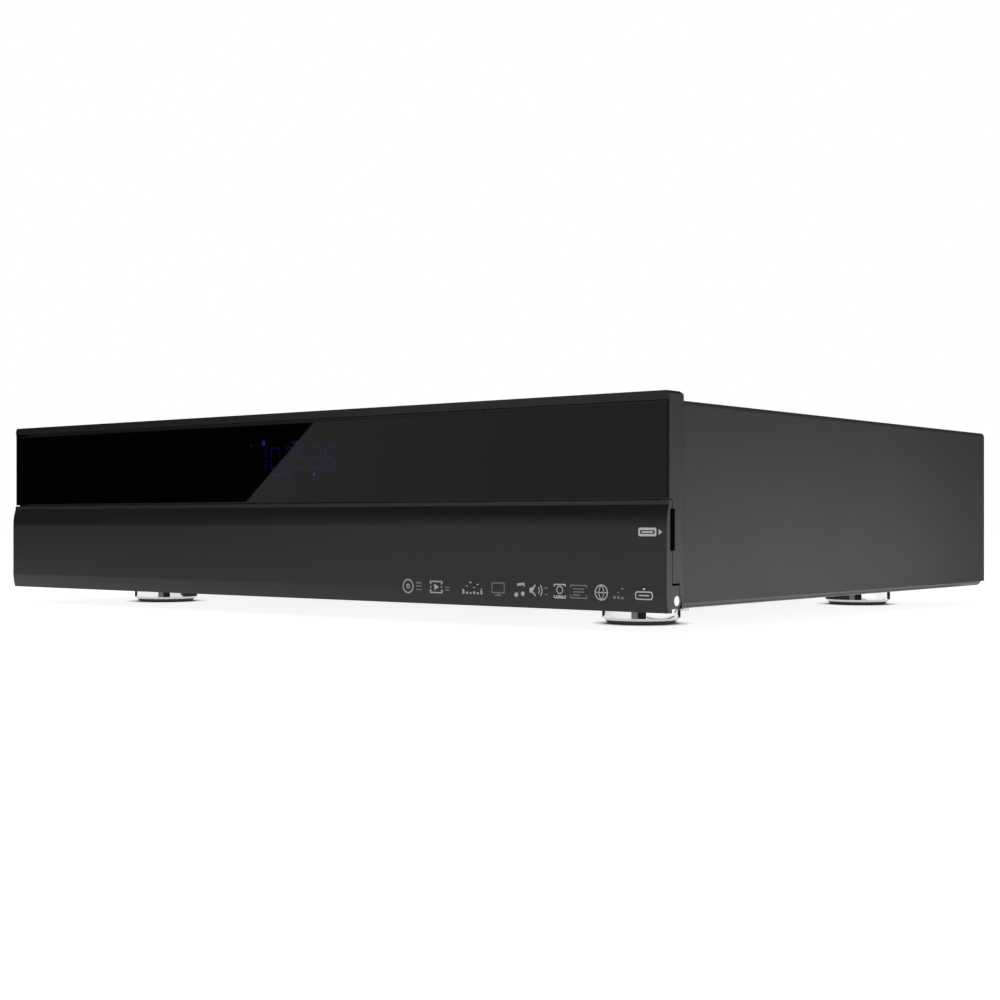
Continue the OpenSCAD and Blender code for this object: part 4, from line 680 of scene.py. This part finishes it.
def on_level(level, outward=1):
    """Places flat faces on a plane of constant Y that looks backwards (1) or forwards (-1)."""
    return lambda x, z, lift: place(x, level + outward * (lift - SINK), z)


def below_pan(x, y, lift):
    return place(x, y, PAN_UNDERSIDE + SINK - lift)


def crosses(places, size=1.5, width=0.75):
    """One cross for each place."""
    made = []
    for x, y in places:
        made += box2(x - size, y - width / 2, x + size, y + width / 2)
        made += box2(x - width / 2, y + width / 2, x + width / 2, y + size)
        made += box2(x - width / 2, y - size, x + width / 2, y - width / 2)
    return made


# dark crosses printed on the screw heads: painted shade that stands in for their cross recesses
painted_recess_shade = surface("painted_recess_shade", (0.012, 0.012, 0.012), 0.6, tint=(900, 0.2))
rear_ink = surface("rear_ink", (0.5, 0.5, 0.5), 0.5, tint=(500, 0.06))
COVER_SCREWS = [(-200 + 100 * k, 88.25) for k in range(5)]
PANEL_SCREWS = [(-199, 14.6), (199, 14.6), (-78, 14.6), (28, 14.6)]
FAN_SCREWS = [(-45.5, 23.4), (4.5, 23.4), (-45.5, 73.4), (4.5, 73.4)]
PAN_SCREWS = [(202.3, 29.4), (-202.3, 29.4), (-202.3, 64.9), (-202.3, 154.8),
              (33.7, 64.9), (33.7, 154.8), (51.2, 19.3), (191.8, 19.3)]
for name, places, to_frame in (
    ("panel", PANEL_SCREWS + FAN_SCREWS, on_level(REAR_FACE + FASTENER_HEAD)),
    ("cover", COVER_SCREWS, on_level(COVER_REAR + FASTENER_HEAD)),
    ("pan", PAN_SCREWS, below_pan)
):
    printed(name + "_screw_slot_shade", crosses(places), to_frame, "chassis", painted_recess_shade, INK_DEPTH)

# plain signs beside the sockets
LAN_X = 55.0
USB_X = 76.51
HDMI_X = (97.63, 119.14, 140.66)
JACK_X = (175.69, 192.0)
JACK_Z = 27.0
OPTICAL_X = 159.5
SOUND_X = 183.8
ANTENNA_X = (50.0, 198.0)
REAR_INK_DEPTH = 0.03
network_sign = outline(0, 0, 3.4, 2.4, 0.3, 0.35)
network_sign += box2(-0.2, 1.1, 0.2, 2.0) + box2(-2.6, 2.0, 2.6, 2.35)
serial_sign = box2(-2.6, -0.2, 2.6, 0.2) + disc(-2.6, 0, 0.6)
serial_sign += [[(2.4, -0.8), (3.9, 0), (2.4, 0.8)]]
signs = moved(network_sign, LAN_X, 35.0) + moved(serial_sign, USB_X, 38.4)
for x in HDMI_X:
    signs += moved(outline(0, 0.3, 5.0, 3.2, 0.3, 0.35) + box2(-1.2, -2.2, 1.2, -1.8), x, 30.4)
signs += moved(band(0, 0, 1.6, 0.35) + disc(0, 0, 0.6), OPTICAL_X, 34.6)
sound_sign = disc(-1.1, -1.2, 0.65) + box2(-0.75, -1.2, -0.45, 1.9) + box2(-0.45, 1.3, 1.4, 1.9)
signs += moved(sound_sign, SOUND_X, 37.8)
for x in ANTENNA_X:
    signs += moved(box2(-0.2, -1.8, 0.2, 1.0) + [[(-1.5, 1.0), (1.5, 1.0), (0, 2.6)]], x, 62.1)
printed("socket_signs", signs, on_rear, "chassis", rear_ink, REAR_INK_DEPTH)

jack_white = surface("jack_white", (0.7, 0.7, 0.68), 0.4, tint=(300, 0.05),
                     rough_var=(400, 0.35, 0.45))
jack_red = surface("jack_red", (0.45, 0.015, 0.012), 0.4, tint=(300, 0.1),
                   rough_var=(400, 0.35, 0.45))
contact_gold = surface("contact_gold", (0.8, 0.58, 0.2), 0.25, metal=1.0,
                       rough_var=(700, 0.2, 0.32))
socket_blue = surface("socket_blue", (0.01, 0.04, 0.3), 0.4, tint=(300, 0.1),
                      rough_var=(400, 0.35, 0.5))
RING_R, RING_WIDTH, RING_DEPTH = 5.2, 1.2, 0.4
SLEEVE_R, SLEEVE_WIDTH, SLEEVE_DEPTH = 2.975, 0.6, 6.6
SLEEVE_START_Y = REAR_FACE + 1.1
for side, x, tone in (("left", JACK_X[0], jack_white), ("right", JACK_X[1], jack_red)):
    ring = band(x, JACK_Z, RING_R, RING_WIDTH, steps=48)
    liner = band(x, JACK_Z, SLEEVE_R, SLEEVE_WIDTH, steps=40)
    printed("jack_ring_" + side, ring, on_rear, "chassis", tone, RING_DEPTH)
    printed("jack_sleeve_" + side, liner, on_level(SLEEVE_START_Y), "chassis", tone, SLEEVE_DEPTH)

# spring contacts in the network socket
SOCKET_INNER_Y = 306.0
CONTACT_COUNT = 8
CONTACT_PITCH = 1.02
CONTACT_DEPTH = 9.0
contacts = []
for k in range(CONTACT_COUNT):
    x = LAN_X + (k - (CONTACT_COUNT - 1) / 2) * CONTACT_PITCH
    contacts += box2(x - 0.18, 28.3, x + 0.18, 28.8)
printed("network_contacts", contacts, on_level(SOCKET_INNER_Y), "chassis", contact_gold,
        CONTACT_DEPTH)

TONGUE_END_Y = 316.8
TONGUE_HALF = 5.6
TONGUE_T = 1.8
SKIN = 0.05  # how far the coloured skin stands off the socket's tongue
CONTACT_INSET = 1.0
CONTACT_X = (-3.4, -1.1, 1.1, 3.4)
FRONT_USB_X = 141.0


def tongue(name, x, z, y0, y1):
    """Coloured tongue of a serial-bus socket, its lower face at z, with its four contacts below."""
    skin = box2(x - TONGUE_HALF - SKIN, z - SKIN, x + TONGUE_HALF + SKIN, z + TONGUE_T + SKIN)
    printed(name, skin, on_level(y0), "chassis", socket_blue, y1 - y0 + 2 * SINK)
    bars = []
    for dx in CONTACT_X:
        bars += box2(x + dx - 0.5, z - 0.22, x + dx + 0.5, z - SKIN)
    printed(name + "_contacts", bars, on_level(y0 + CONTACT_INSET), "chassis", contact_gold,
            y1 - y0 - 2 * CONTACT_INSET)


tongue("rear_tongue_low", USB_X, 23.3, SOCKET_INNER_Y, TONGUE_END_Y)
tongue("rear_tongue_high", USB_X, 31.1, SOCKET_INNER_Y, TONGUE_END_Y)
tongue("front_tongue", FRONT_USB_X, 29.6, 13.6, 24.6)


# ---------- Details on the moving pieces ----------

FRONT_Z = 29.4
BUTTON_X = 175.0
BUTTON_FACE = 10.8
TRAY_FACE = 24.0
dark_ink = surface("dark_ink", (0.02, 0.02, 0.02), 0.5, tint=(600, 0.1))
standby = band(0, 0, 2.3, 0.5, 120, 420, 28) + box2(-0.25, 0.3, 0.25, 3.1)
standby = moved(standby, BUTTON_X, FRONT_Z)
printed("standby_sign", standby, on_level(BUTTON_FACE, -1), "power_button", dark_ink, INK_DEPTH)

# one pip on the first tray, two on the second
for side, x, heights in (("left", -92.0, (0,)), ("right", 21.0, (-1.4, 1.4))):
    pips = [face for dz in heights for face in disc(x, FRONT_Z + dz, 0.8)]
    printed("tray_pips_" + side, pips, on_level(TRAY_FACE, -1), side + "_tray", ink, INK_DEPTH)

# the rocker's two faces meet in a line behind its axis: above it the face rises backwards, below it
# the face is upright
ROCKER_X, ROCKER_AXIS_Y, ROCKER_AXIS_Z = -143.0, 316.8, 39.0
RIDGE_Y = ROCKER_AXIS_Y + 2.575
RIDGE_Z = ROCKER_AXIS_Z - 0.362
LEAN = math.radians(16)


def on_rocker_high(x, u, lift):
    out = lift - SINK
    return place(ROCKER_X + x, RIDGE_Y + u * math.sin(LEAN) + out * math.cos(LEAN),
                 RIDGE_Z + u * math.cos(LEAN) - out * math.sin(LEAN))


def on_rocker_low(x, u, lift):
    return place(ROCKER_X + x, RIDGE_Y + lift - SINK, RIDGE_Z - u)


for name, sign, to_frame in (
    ("switch_on_sign", box2(-0.25, 2.8, 0.25, 6.2), on_rocker_high),
    ("switch_off_sign", band(0, 4.3, 1.6, 0.45, steps=28), on_rocker_low)
):
    printed(name, sign, to_frame, "rocker", ink, INK_DEPTH)
